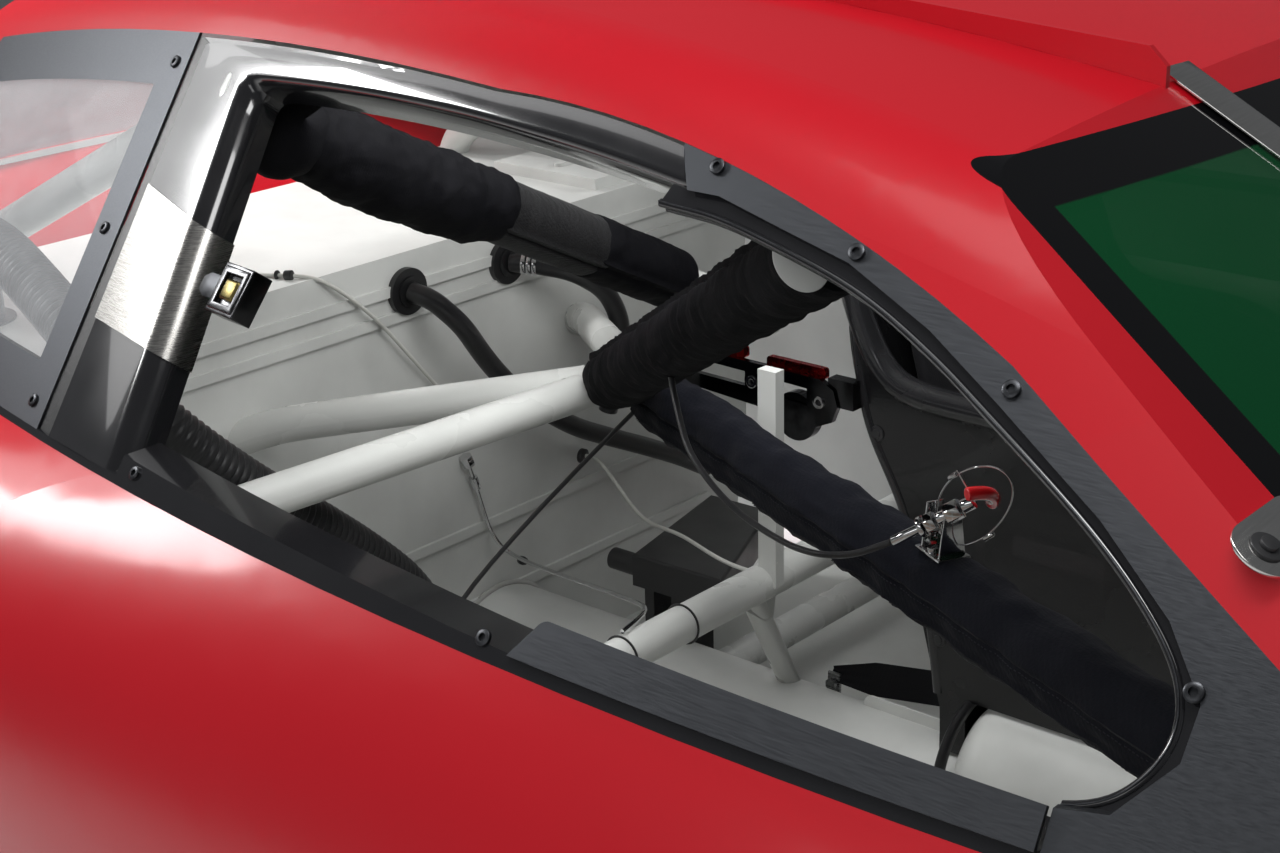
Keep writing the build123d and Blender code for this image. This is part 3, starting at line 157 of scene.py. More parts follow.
class ShaderMaker:
    """Builds one material's node tree."""

    def __init__(self, name: str) -> None:
        """Starts a material.

        Args:
            name: its name.
        """
        self.material = bpy.data.materials.new(name)
        self.material.use_nodes = True
        self.nodes = self.material.node_tree.nodes
        self.links = self.material.node_tree.links
        self.surface = self.nodes["Principled BSDF"]

    def node(self, kind: Kind, settings: dict, sockets: dict, out: int | str = 0) -> Value:
        """Adds a node.

        Args:
            kind: its type.
            settings: its own properties.
            sockets: a number, a tuple or a Value for each input.
            out: which output is handed back.

        Returns:
            That output.
        """
        made = self.nodes.new(kind.value)
        for key, value in settings.items():
            setattr(made, key, value)
        for key, value in sockets.items():
            self.feed(made.inputs[key], value)
        return Value(self, made.outputs[out])

    def feed(self, socket: bpy.types.NodeSocket, value: "Value | float | tuple") -> None:
        """Links or sets one input.

        Args:
            socket: the input.
            value: what goes in.
        """
        if isinstance(value, Value):
            self.links.new(value.socket, socket)
        else:
            socket.default_value = value

    def place(self, scale: Point = (1.0, 1.0, 1.0), turn: Point = (0.0, 0.0, 0.0)) -> Value:
        """Object coordinates, turned and stretched.

        Args:
            scale: factor along each axis.
            turn: angles in degrees.

        Returns:
            The coordinates.
        """
        here = self.node(Kind.OBJECT, {}, {}, "Object")
        angles = tuple(math.radians(a) for a in turn)
        return self.node(Kind.MAPPING, {}, {"Vector": here, "Rotation": angles, "Scale": scale})

    def axes(self) -> tuple[Value, Value, Value]:
        """Object coordinates one by one.

        Returns:
            The x, y and z values.
        """
        here = self.place()
        return tuple(self.node(Kind.SEPARATE, {}, {"Vector": here}, axis) for axis in range(3))

    def facing(self, centre: Point) -> Value:
        """How far a face looks away from a point inside the object.

        Args:
            centre: the point.

        Returns:
            A value above 0 where the face looks outwards.
        """
        here = self.node(Kind.OBJECT, {}, {}, "Object")
        normal = self.node(Kind.OBJECT, {}, {}, "Normal")
        away = self.node(Kind.VECTOR_MATHS, {"operation": "SUBTRACT"}, {0: here, 1: centre})
        return self.node(Kind.VECTOR_MATHS, {"operation": "DOT_PRODUCT"}, {0: normal, 1: away}, "Value")

    def noise(
        self,
        scale: float,
        stretch: Point = (1.0, 1.0, 1.0),
        detail: float = 3.0,
        turn: Point = (0.0, 0.0, 0.0),
    ) -> Value:
        """Noise in space.

        Args:
            scale: grains per metre.
            stretch: factor along each axis.
            detail: octaves.
            turn: angles in degrees.

        Returns:
            A value from 0 to 1.
        """
        settings = {"noise_dimensions": "3D"}
        sockets = {"Vector": self.place(stretch, turn), "Scale": scale, "Detail": detail}
        return self.node(Kind.NOISE, settings, sockets)

    def cells(self, scale: float) -> Value:
        """Distance to the nearest of many scattered points.

        Args:
            scale: points per metre.

        Returns:
            The distance in cells.
        """
        return self.node(Kind.VORONOI, {}, {"Vector": self.place(), "Scale": scale})

    def mix(self, share: Value, low: "Value | Colour", high: "Value | Colour") -> Value:
        """Colour between two.

        Args:
            share: 0 for low, 1 for high.
            low: first colour.
            high: second colour.

        Returns:
            The mixed colour.
        """
        low, high = (c if isinstance(c, Value) else (*c, 1.0) for c in (low, high))
        return self.node(Kind.MIX, {"data_type": "RGBA"}, {0: share, 6: low, 7: high}, 2)

    def bump(self, height: Value, distance: float, strength: float = 1.0) -> Value:
        """Surface relief.

        Args:
            height: relief from 0 to 1.
            distance: its depth in metres.
            strength: share of it that shows.

        Returns:
            A normal.
        """
        sockets = {"Height": height, "Distance": distance, "Strength": strength}
        return self.node(Kind.BUMP, {}, sockets)

    def set(self, **inputs: "Value | float | tuple") -> None:
        """Feeds the surface shader.

        Args:
            inputs: values by socket name, with underscores for spaces.
        """
        for key, value in inputs.items():
            self.feed(self.surface.inputs[key.replace("_", " ")], value)


@dataclass(frozen=True)
class SatinPaint:
    """Sprayed satin paint with faint dirt and orange peel."""

    name: str
    colour: Colour
    roughness: float = 0.36
    dirt: float = 0.12

    def make(self) -> bpy.types.Material:
        """Builds the material.

        Returns:
            The material.
        """
        shader = ShaderMaker(self.name)
        dull = tuple(c * (1.0 - self.dirt) for c in self.colour)
        patch = shader.noise(7.0, detail=5.0).over(0.35, 0.75)
        peel = shader.noise(420.0, detail=1.0)
        shader.set(Base_Color=shader.mix(patch, self.colour, dull))
        shader.set(Roughness=patch.over(0.0, 1.0, self.roughness, self.roughness + 0.12))
        shader.set(Normal=shader.bump(peel, 0.0002, 0.25))
        return shader.material


@dataclass(frozen=True)
class BodyPaint:
    """Gloss body colour outside and pale satin paint inside."""

    name: str
    outside: Colour
    inside: Colour
    roughness: float = 0.36
    lining_roughness: float = 0.5
    coat: float = 0.35

    def make(self) -> bpy.types.Material:
        """Builds the material.

        Returns:
            The material.
        """
        shader = ShaderMaker(self.name)
        outer = shader.facing(CABIN_HEART).over(-0.01, 0.01)
        drift = shader.noise(2.2, detail=2.0)
        deep = tuple(c * 0.88 for c in self.outside)
        dull = tuple(c * 0.84 for c in self.inside)
        skin = shader.mix(drift, deep, self.outside)
        lining = shader.mix(shader.noise(6.0, detail=5.0).over(0.35, 0.75), self.inside, dull)
        shader.set(Base_Color=shader.mix(outer, lining, skin))
        shader.set(Roughness=outer.over(0.0, 1.0, self.lining_roughness, self.roughness))
        shader.set(Coat_Weight=outer * self.coat, Coat_Roughness=0.13, Specular_IOR_Level=0.4)
        shader.set(Normal=shader.bump(shader.noise(260.0, detail=1.0), 0.0002, 0.12))
        return shader.material


@dataclass(frozen=True)
class BrushedMetal:
    """Metal with fine brush lines along one direction."""

    name: str
    colour: Colour
    roughness: float = 0.32
    across: Point = (4.0, 160.0, 700.0)
    turn: Point = (0.0, 0.0, 0.0)
    contrast: float = 0.3
    relief: float = 0.15

    def make(self) -> bpy.types.Material:
        """Builds the material.

        Returns:
            The material.
        """
        shader = ShaderMaker(self.name)
        lines = shader.noise(1.0, self.across, 4.0, self.turn)
        dull = tuple(c * (1.0 - self.contrast) for c in self.colour)
        cloud = shader.noise(5.0, detail=3.0)
        worn = (lines * 0.7 + cloud * 0.3).over(0.3, 0.7)
        shader.set(Metallic=1.0, Base_Color=shader.mix(worn, dull, self.colour))
        shader.set(Roughness=lines.over(0.3, 0.7, self.roughness * 0.8, self.roughness * 1.25))
        shader.set(Normal=shader.bump(lines, 0.0001, self.relief))
        return shader.material


@dataclass(frozen=True)
class Gloss:
    """Smooth hard plastic or enamel with faint handling marks."""

    name: str
    colour: Colour
    roughness: float = 0.1
    coat: float = 0.5
    grain: float = 0.0

    def make(self) -> bpy.types.Material:
        """Builds the material.

        Returns:
            The material.
        """
        shader = ShaderMaker(self.name)
        marks = shader.noise(14.0, detail=4.0)
        pale = tuple(min(1.0, c * 1.25 + 0.002) for c in self.colour)
        shader.set(Base_Color=shader.mix(marks, self.colour, pale), Coat_Weight=self.coat)
        shader.set(Roughness=marks.over(0.3, 0.8, self.roughness, self.roughness * 1.6))
        if self.grain:
            shader.set(Normal=shader.bump(shader.cells(260.0), 0.0004, self.grain))
        return shader.material


@dataclass(frozen=True)
class Cloth:
    """Dark woven or hooked fabric with a soft sheen."""

    name: str
    colour: Colour
    weave: float = 900.0
    depth: float = 0.0005
    sheen: float = 0.03
    roughness: float = 0.88

    def make(self) -> bpy.types.Material:
        """Builds the material.

        Returns:
            The material.
        """
        shader = ShaderMaker(self.name)
        x, y, z = shader.axes()
        threads = ((x + y) * self.weave).wave() * ((z - y) * self.weave).wave()
        fuzz = shader.noise(self.weave * 0.6, detail=2.0)
        lint = shader.noise(70.0, detail=5.0).over(0.62, 0.8)
        worn = shader.noise(9.0, detail=3.0).over(0.35, 0.75)
        pale = tuple(c * 1.6 + 0.002 for c in self.colour)
        shader.set(Base_Color=shader.mix((worn * 0.5 + lint * 0.25).least(1.0), self.colour, pale))
        shader.set(Roughness=fuzz.over(0.0, 1.0, self.roughness - 0.08, self.roughness + 0.06))
        shader.set(Sheen_Weight=self.sheen, Sheen_Roughness=0.4, Specular_IOR_Level=0.16)
        shader.set(Normal=shader.bump(threads * 0.25 + fuzz, self.depth, 0.6))
        return shader.material


@dataclass(frozen=True)
class Sealer:
    """Foam, rubber or sealer: matte, with a fine grain."""

    name: str
    colour: Colour
    roughness: float = 0.6
    grain: float = 300.0
    depth: float = 0.0004

    def make(self) -> bpy.types.Material:
        """Builds the material.

        Returns:
            The material.
        """
        shader = ShaderMaker(self.name)
        fine = shader.noise(self.grain, detail=3.0)
        patch = shader.noise(12.0, detail=4.0)
        dark = tuple(c * 0.75 for c in self.colour)
        shader.set(Base_Color=shader.mix(patch.over(0.3, 0.7), dark, self.colour))
        shader.set(Roughness=patch.over(0.2, 0.8, self.roughness * 0.85, self.roughness * 1.1))
        shader.set(Normal=shader.bump(fine, self.depth, 0.5))
        return shader.material


@dataclass(frozen=True)
class ClearPane:
    """Glass or clear plastic, with dust along the lower part."""

    name: str
    colour: Colour
    haze: float = 0.1

    def make(self) -> bpy.types.Material:
        """Builds the material.

        Returns:
            The material.
        """
        shader = ShaderMaker(self.name)
        dust = shader.noise(30.0, detail=5.0)
        pale = tuple(min(1.0, c * 1.1 + 0.01) for c in self.colour)
        shader.set(Base_Color=shader.mix(dust, self.colour, pale), Roughness=dust.over(0.3, 0.8, 0.02, 0.07))
        shader.set(Alpha=dust.over(0.2, 0.9, self.haze * 0.85, self.haze * 1.2), IOR=1.45)
        return shader.material


@dataclass(frozen=True)
class Screen:
    """Green glass with a black printed band round its edge, drawn in front view."""

    name: str
    colour: Colour
    ink: Colour = (0.003, 0.003, 0.0035)
    haze: float = 0.84
    band: float = 0.034
    top: float = 1.152
    bottom: float = 0.835
    top_half: float = 0.565
    bottom_half: float = 0.740

    def make(self) -> bpy.types.Material:
        """Builds the material.

        Returns:
            The material.
        """
        shader = ShaderMaker(self.name)
        _, y, z = shader.axes()
        slope = (self.bottom_half - self.top_half) / (self.top - self.bottom)
        reach = self.top_half - self.band + (self.top - z) * slope
        upper = z - (self.top - self.band * 0.8)
        lower = (self.bottom + self.band) - z
        printed = (abs(y) - reach).most(upper).most(lower).over(-0.0005, 0.0005)
        tint = shader.mix(shader.noise(3.0), tuple(c * 0.8 for c in self.colour), self.colour)
        shader.set(Base_Color=shader.mix(printed, tint, self.ink))
        shader.set(Alpha=printed.over(0.0, 1.0, self.haze, 1.0))
        shader.set(Roughness=0.03, IOR=1.45, Specular_IOR_Level=0.22)
        return shader.material


class Bench:
    """Blender's own modelling tools, one call each."""

    @staticmethod
    def only(*pieces: bpy.types.Object) -> None:
        """Selects these and nothing else.

        Args:
            pieces: objects, the first of which becomes active.
        """
        if bpy.context.object and bpy.context.object.mode != "OBJECT":
            bpy.ops.object.mode_set(mode="OBJECT")
        bpy.ops.object.select_all(action="DESELECT")
        for piece in pieces:
            piece.select_set(True)
        if pieces:
            bpy.context.view_layer.objects.active = pieces[0]

    @classmethod
    def named(cls, name: str) -> bpy.types.Object:
        """Names the piece that was just added.

        Args:
            name: its name.

        Returns:
            The piece.
        """
        piece = bpy.context.object
        piece.name = name
        piece.data.name = name
        return piece

    @classmethod
    def drum(
        cls, name: str, radius: float, depth: float, sides: int = 32, caps: str = "NGON"
    ) -> bpy.types.Object:
        """Adds a round bar round the z axis.

        Args:
            name: its name.
            radius: its radius.
            depth: its length.
            sides: faces round it.
            caps: how its ends are filled.

        Returns:
            The piece.
        """
        cls.only()
        bpy.ops.mesh.primitive_cylinder_add(vertices=sides, radius=radius, depth=depth, end_fill_type=caps)
        return cls.named(name)

    @classmethod
    def block(cls, name: str, size: Point) -> bpy.types.Object:
        """Adds a box round the origin.

        Args:
            name: its name.
            size: its three sides.

        Returns:
            The piece.
        """
        cls.only()
        bpy.ops.mesh.primitive_cube_add(size=1.0)
        piece = cls.named(name)
        piece.scale = size
        return cls.settle(piece)

    @classmethod
    def stud(
        cls, name: str, radius: float, depth: float, sides: int, edge: float, place: Matrix
    ) -> bpy.types.Object:
        """Adds a round or hexagonal bar with soft edges at a place.

        Args:
            name: its name.
            radius: its radius.
            depth: its length.
            sides: faces round it.
            edge: size of its rounding.
            place: where it goes, its length along z.

        Returns:
            The piece.
        """
        return cls.settle(cls.soften(cls.drum(name, radius, depth, sides), edge), place)

    @classmethod
    def hoop(cls, name: str, radius: float, tube: float) -> bpy.types.Object:
        """Adds a thin ring round the z axis.

        Args:
            name: its name.
            radius: from its middle to the middle of its bar.
            tube: radius of its bar.

        Returns:
            The piece.
        """
        cls.only()
        bpy.ops.mesh.primitive_torus_add(
            major_radius=radius, minor_radius=tube, major_segments=32, minor_segments=6
        )
        return cls.named(name)

    @classmethod
    def grid(
        cls, name: str, columns: int, rows: int, place: "Callable[[float, float], Vector]"
    ) -> bpy.types.Object:
        """Adds a grid and lays it out.

        Args:
            name: its name.
            columns: its faces one way.
            rows: its faces the other way.
            place: takes two shares from 0 to 1 and returns the point there.

        Returns:
            The piece.
        """
        cls.only()
        bpy.ops.mesh.primitive_grid_add(x_subdivisions=columns, y_subdivisions=rows, size=1.0)
        piece = cls.named(name)
        with Edit(piece) as edit:
            edit.move(lambda point: place(point.x + 0.5, point.y + 0.5))
        return piece

    @classmethod
    def settle(cls, piece: bpy.types.Object, place: Matrix | None = None) -> bpy.types.Object:
        """Puts a piece in its place and bakes that into its mesh.

        Args:
            piece: the piece.
            place: where it goes, or None to stay.

        Returns:
            The same piece.
        """
        if place is not None:
            piece.matrix_world = place
        cls.only(piece)
        bpy.ops.object.transform_apply(location=True, rotation=True, scale=True)
        return piece

    @classmethod
    def modify(cls, piece: bpy.types.Object, kind: str, **settings: object) -> bpy.types.Object:
        """Adds a modifier and applies it.

        Args:
            piece: the piece.
            kind: the modifier's type.
            settings: its properties.

        Returns:
            The same piece.
        """
        cls.only(piece)
        made = piece.modifiers.new(kind.lower(), kind)
        for key, value in settings.items():
            setattr(made, key, value)
        bpy.ops.object.modifier_apply(modifier=made.name)
        return piece

    @classmethod
    def join(cls, name: str, pieces: list[bpy.types.Object]) -> bpy.types.Object:
        """Makes one piece of several.

        Args:
            name: its name.
            pieces: what it is made of.

        Returns:
            The joined piece.
        """
        cls.only(*pieces)
        if len(pieces) > 1:
            bpy.ops.object.join()
        return cls.named(name)

    @classmethod
    def copied(cls, piece: bpy.types.Object, place: Matrix) -> bpy.types.Object:
        """Copies a piece with its own mesh to another place.

        Args:
            piece: the pattern, at the origin.
            place: where the copy goes.

        Returns:
            The copy.
        """
        cls.only(piece)
        bpy.ops.object.duplicate(linked=False)
        return cls.settle(bpy.context.object, place)

    @classmethod
    def both_sides(cls, piece: bpy.types.Object) -> bpy.types.Object:
        """Adds the mirror image across the car to a piece's own mesh.

        Args:
            piece: the piece on the right.

        Returns:
            The same piece.
        """
        return cls.modify(piece, "MIRROR", use_axis=(False, True, False), use_mirror_merge=False)

    @classmethod
    def drop(cls, *pieces: bpy.types.Object) -> None:
        """Deletes helpers.

        Args:
            pieces: what goes.
        """
        cls.only(*pieces)
        bpy.ops.object.delete()

    @classmethod
    def soften(cls, piece: bpy.types.Object, width: float, segments: int = 2) -> bpy.types.Object:
        """Rounds a piece's sharp edges.

        Args:
            piece: the piece.
            width: size of the rounding.
            segments: steps across it.

        Returns:
            The same piece.
        """
        return cls.modify(piece, "BEVEL", width=width, segments=segments, limit_method="ANGLE")

    @classmethod
    def path(cls, name: str, points: Sequence[Point], order: int, closed: bool = False) -> bpy.types.Object:
        """Adds a smooth path.

        Args:
            name: its name.
            points: its control points.
            order: how far each of them reaches.
            closed: whether it joins its own start.

        Returns:
            The path as a curve.
        """
        cls.only()
        bpy.ops.curve.primitive_nurbs_path_add()
        path = cls.named(name)
        path.data.splines.clear()
        spline = path.data.splines.new("NURBS")
        spline.points.add(len(points) - 1)
        for place, point in zip(spline.points, points):
            place.co = (*point, 1.0)
        spline.use_cyclic_u = closed
        spline.order_u = order
        spline.use_endpoint_u = not closed
        return path

    @classmethod
    def line(
        cls, name: str, points: Sequence[Point], radius: float, closed: bool = False, sides: int = 4
    ) -> bpy.types.Object:
        """Adds a round wire along smooth points.

        Args:
            name: its name.
            points: its control points.
            radius: radius of the wire.
            closed: whether it joins its own start.
            sides: detail round the wire.

        Returns:
            The wire as a mesh.
        """
        path = cls.path(name, points, 4, closed)
        curve = path.data
        curve.bevel_depth = radius
        curve.bevel_resolution = sides
        curve.resolution_u = 6
        curve.use_fill_caps = not closed
        cls.only(path)
        bpy.ops.object.convert(target="MESH")
        return cls.named(name)

    @classmethod
    def give(
        cls,
        piece: bpy.types.Object,
        material: bpy.types.Material,
        slot: str,
        *nodes: str,
        body: str = "section",
        angle: float = 40.0,
    ) -> bpy.types.Object:
        """Dresses a finished piece and fixes it to its body.

        Args:
            piece: the piece.
            material: its finish.
            slot: the material slot of the record that it stands for; not used.
            nodes: CAD nodes that it stands for.
            body: what it moves with.
            angle: edges sharper than this stay sharp.

        Returns:
            The same piece.
        """
        cls.only(piece)
        bpy.ops.object.shade_smooth_by_angle(angle=math.radians(angle))
        piece.data.materials.clear()
        piece.data.materials.append(material)
        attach(piece, body)
        if nodes:
            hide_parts(*nodes)
        return piece


class Edit:
    """One mesh in edit mode, whose faces or edges are picked in code."""

    def __init__(self, piece: bpy.types.Object) -> None:
        """Remembers the piece.

        Args:
            piece: the piece.
        """
        self.piece = piece

    def __enter__(self) -> "Edit":
        """Goes into edit mode."""
        Bench.only(self.piece)
        bpy.ops.object.mode_set(mode="EDIT")
        return self

    def __exit__(self, *_: object) -> None:
        """Leaves edit mode."""
        bpy.ops.object.mode_set(mode="OBJECT")

    def faces(self, test: "Callable[[Vector, Vector], bool]") -> None:
        """Selects faces.

        Args:
            test: takes a face's middle and normal.
        """
        bpy.ops.mesh.select_mode(type="FACE")
        bpy.ops.mesh.select_all(action="DESELECT")
        mesh = bmesh.from_edit_mesh(self.piece.data)
        for face in mesh.faces:
            face.select_set(test(face.calc_center_median(), face.normal))
        bmesh.update_edit_mesh(self.piece.data)

    def edges(self, test: "Callable[[Vector, Vector], bool]") -> None:
        """Selects edges.

        Args:
            test: takes an edge's two ends.
        """
        bpy.ops.mesh.select_mode(type="EDGE")
        bpy.ops.mesh.select_all(action="DESELECT")
        mesh = bmesh.from_edit_mesh(self.piece.data)
        for edge in mesh.edges:
            edge.select_set(test(edge.verts[0].co, edge.verts[1].co))
        bmesh.update_edit_mesh(self.piece.data)

    def move(self, shift: "Callable[[Vector], Vector]") -> None:
        """Moves every point, as a sculpting brush would.

        Args:
            shift: takes a point and returns its new place.
        """
        mesh = bmesh.from_edit_mesh(self.piece.data)
        for vert in mesh.verts:
            vert.co = shift(vert.co.copy())
        bmesh.update_edit_mesh(self.piece.data)

    def all(self) -> None:
        """Selects everything."""
        bpy.ops.mesh.select_all(action="SELECT")

    def outward(self) -> None:
        """Turns every face outwards."""
        self.all()
        bpy.ops.mesh.normals_make_consistent(inside=False)

    def cut(self, count: int) -> None:
        """Cuts whatever is selected into smaller steps.

        Args:
            count: cuts across each edge.
        """
        bpy.ops.mesh.subdivide(number_cuts=count)

    def inset(self, width: float) -> None:
        """Draws a smaller face inside each selected one.

        Args:
            width: distance between the two outlines.
        """
        bpy.ops.mesh.inset(thickness=width)

    def pull(self, *shift: float) -> None:
        """Pulls whatever is selected out of the mesh.

        Args:
            shift: how far along x, y and z.
        """
        bpy.ops.mesh.extrude_region_move(TRANSFORM_OT_translate={"value": shift})


@dataclass(frozen=True)
class WindowSurface:
    """The leaning right-hand surface that the side glass and its trims lie on."""

    belt_z: float = 0.8
    half: float = 0.85
    widest_x: float = 0.72
    radius: float = 4.734
    lean: float = 0.745

    def y(self, x: float, z: float) -> float:
        """Sideways place of the surface.

        Args:
            x: place along the car.
            z: height.

        Returns:
            y at that place.
        """
        belt = self.radius - self.half - math.sqrt(self.radius**2 - (x - self.widest_x) ** 2)
        return belt + self.lean * (z - self.belt_z)

    def frame(self, x: float, z: float, lift: float = 0.0) -> Matrix:
        """Axes on the surface: along the belt, up the slope, outwards.

        Args:
            x: place along the car.
            z: height.
            lift: distance out from the surface.

        Returns:
            A placing matrix.
        """
        slope = (x - self.widest_x) / math.sqrt(self.radius**2 - (x - self.widest_x) ** 2)
        along = Vector((1.0, slope, 0.0)).normalized()
        out = along.cross(Vector((0.0, self.lean, 1.0))).normalized()
        up = out.cross(along)
        place = Vector((x, self.y(x, z), z)) + out * lift
        return Matrix.Translation(place) @ Matrix((along, up, out)).transposed().to_4x4()

    def point(self, x: float, z: float, lift: float = 0.0) -> Vector:
        """A point on the surface or above it.

        Args:
            x: place along the car.
            z: height.
            lift: distance out from the surface.

        Returns:
            The point.
        """
        return self.frame(x, z, lift).to_translation()

    def out(self, x: float, z: float) -> Vector:
        """Direction that the surface faces.

        Args:
            x: place along the car.
            z: height.

        Returns:
            A unit vector.
        """
        return self.frame(x, z).to_3x3() @ Vector(UP)


SIDE = WindowSurface()


def aimed(start: Point, end: Point) -> Matrix:
    """Placing matrix whose z axis runs from one point towards another.

    Args:
        start: its origin.
        end: what it points at.

    Returns:
        The matrix.
    """
    ahead = (Vector(end) - Vector(start)).normalized()
    side = Vector(UP).cross(ahead)
    side = side.normalized() if side.length > 0.01 else Vector(FORWARD)
    return Matrix.Translation(start) @ Matrix((side, ahead.cross(side), ahead)).transposed().to_4x4()


def plane_place(origin: Point, along: Point, out: Point) -> Matrix:
    """Placing matrix from the direction of its x axis and of its z axis.

    Args:
        origin: its origin.
        along: direction of x.
        out: direction of z.

    Returns:
        The matrix.
    """
    z = Vector(out).normalized()
    x = Vector(along)
    x = (x - z * x.dot(z)).normalized()
    return Matrix.Translation(origin) @ Matrix((x, z.cross(x), z)).transposed().to_4x4()


def between(a: SidePoint, b: SidePoint, share: float) -> SidePoint:
    """A point on the way from one to another in side view.

    Args:
        a: the first.
        b: the second.
        share: 0 for the first, 1 for the second.

    Returns:
        The point.
    """
    return (a[0] + (b[0] - a[0]) * share, a[1] + (b[1] - a[1]) * share)


def ripple(place: Vector, scale: float) -> float:
    """Smooth unevenness between -1 and 1.

    Args:
        place: a point.
        scale: grains per metre.

    Returns:
        Its value there.
    """
    return noise.noise(place * scale)


@dataclass
class Fitting:
    """Something of the car that is modelled here, with all the finishes at hand."""

    finishes: "Finishes"

    def dress(
        self, piece: bpy.types.Object, finish: str, slot: str, *nodes: str, angle: float = 40.0
    ) -> bpy.types.Object:
        """Gives a finished piece its look and fixes it to the section.

        Args:
            piece: the piece.
            finish: name of its finish.
            slot: the material slot of the record that it stands for.
            nodes: CAD nodes that it stands for.
            angle: edges sharper than this stay sharp.

        Returns:
            The same piece.
        """
        return Bench.give(piece, self.finishes[finish], slot, *nodes, angle=angle)


@dataclass
class Screws(Fitting):
    """Flush screws with a sunk middle, in both sides' trims."""

    plates: tuple[SidePoint, ...] = (
        (0.540, 1.129), (0.845, 1.034), (1.030, 0.905), (1.150, 0.865), (0.690, 1.093),
    )
    frames: tuple[SidePoint, ...] = (
        (-0.227, 1.118), (-0.219, 0.971), (-0.206, 0.824), (0.015, 0.814), (0.501, 0.813),
    )
    radius: float = 0.0066
    head: float = 0.0014

    def pattern(self) -> bpy.types.Object:
        """Models one screw head.

        Returns:
            The head, its face along z.
        """
        screw = Bench.drum("screw", self.radius, self.head * 2, 28)
        with Edit(screw) as edit:
            edit.faces(lambda middle, normal: normal.z > 0.9)
            edit.inset(self.radius * 0.18)
            bpy.ops.transform.translate(value=(0.0, 0.0, self.head * 0.5))
            edit.inset(self.radius * 0.34)
            edit.pull(0.0, 0.0, -self.head * 1.6)
        return screw

    def build(self) -> None:
        """Sets a head at every place."""
        pattern = self.pattern()
        heads = [Bench.copied(pattern, SIDE.frame(x, z, self.head)) for x, z in self.plates]
        heads += [Bench.copied(pattern, SIDE.frame(x, z, self.head * 0.6)) for x, z in self.frames]
        Bench.drop(pattern)
        self.dress(Bench.both_sides(Bench.join("trim_screws", heads)), "bolt", "steel")
        log.info("trim screws: %d a side", len(heads))


@dataclass
class SleevePad:
    """Padded cloth sleeve sewn round a cage bar.

    Its pleats, crumples and sag are heights in metres, its seams are angles round the bar, 0 at its top.
    """

    name: str
    start: Point
    end: Point
    finish: str
    radius: float = 0.038
    wall: float = 0.011
    pleat: float = 0.0
    pleat_pitch: float = 0.015
    sag: float = 0.0
    crumple: float = 0.0016
    hem: float = 0.006
    seams: tuple[float, ...] = ()
    fill: float = 0.8
    sides: int = 72
    rows: int = 150

    def swell(self, angle: float, along: float, length: float, place: Vector) -> float:
        """Radius of the cover at one point.

        Args:
            angle: round the bar, 0 at its top.
            along: distance from its start.
            length: the sleeve's length.
            place: the point.

        Returns:
            The radius.
        """
        low = 0.5 - 0.5 * math.cos(angle)
        reach = self.radius + self.sag * low * math.sin(math.pi * min(1.0, along / length))
        fade = math.sin(max(0.0, min(math.pi, abs(angle) - 0.45)))
        bend = along + 0.006 * math.cos(angle * 2.0) + 0.007 * ripple(place, 16.0)
        reach += self.pleat * fade * math.sin(bend / self.pleat_pitch * math.tau)
        fine = 0.6 * ripple(place, 55.0)
        reach += self.crumple * (ripple(place, 22.0) + fine + 0.3 * ripple(place, 120.0))
        slant = along * 60.0 + angle * 3.0
        fold = max(0.0, math.sin(slant + 4.0 * ripple(place, 9.0)))
        reach += self.crumple * 0.9 * fold * max(0.0, ripple(place, 7.0))
        for seam in self.seams:
            gap = (angle - seam + math.pi) % math.tau - math.pi
            reach += 0.0030 * math.exp(-((gap * self.radius - 0.003) / 0.0022) ** 2)
            reach -= 0.0022 * math.exp(-((gap * self.radius + 0.0025) / 0.0016) ** 2)
        edge = min(along, length - along)
        if edge < self.hem:
            reach -= self.hem * 0.5 * (1.0 - math.sqrt(max(0.0, 1.0 - (1.0 - edge / self.hem) ** 2)))
        return reach

    def build(self, finishes: "Finishes", *nodes: str) -> bpy.types.Object:
        """Models the sleeve.

        Args:
            finishes: all the finishes.
            nodes: CAD nodes that it stands for.

        Returns:
            The sleeve.
        """
        length = (Vector(self.end) - Vector(self.start)).length
        sleeve = Bench.drum(self.name, self.radius, length, self.sides, "NOTHING")
        with Edit(sleeve) as edit:
            edit.edges(lambda a, b: abs(a.z - b.z) > length * 0.5)
            edit.cut(self.rows)

            def shift(point: Vector) -> Vector:
                """New place of a point of the cover."""
                angle = math.atan2(point.x, point.y)
                along = point.z + length / 2
                round_it = Vector((math.sin(angle), math.cos(angle), 0.0))
                place = round_it * self.radius + Vector((0.0, 0.0, along))
                return round_it * self.swell(angle, along, length, place) + Vector((0.0, 0.0, along))

            edit.move(shift)
        Bench.settle(sleeve, aimed(self.start, self.end))
        Bench.modify(sleeve, "SOLIDIFY", thickness=self.wall, offset=-1.0)
        Bench.give(sleeve, finishes[self.finish], "pad_cloth", *nodes, angle=60.0)
        return sleeve


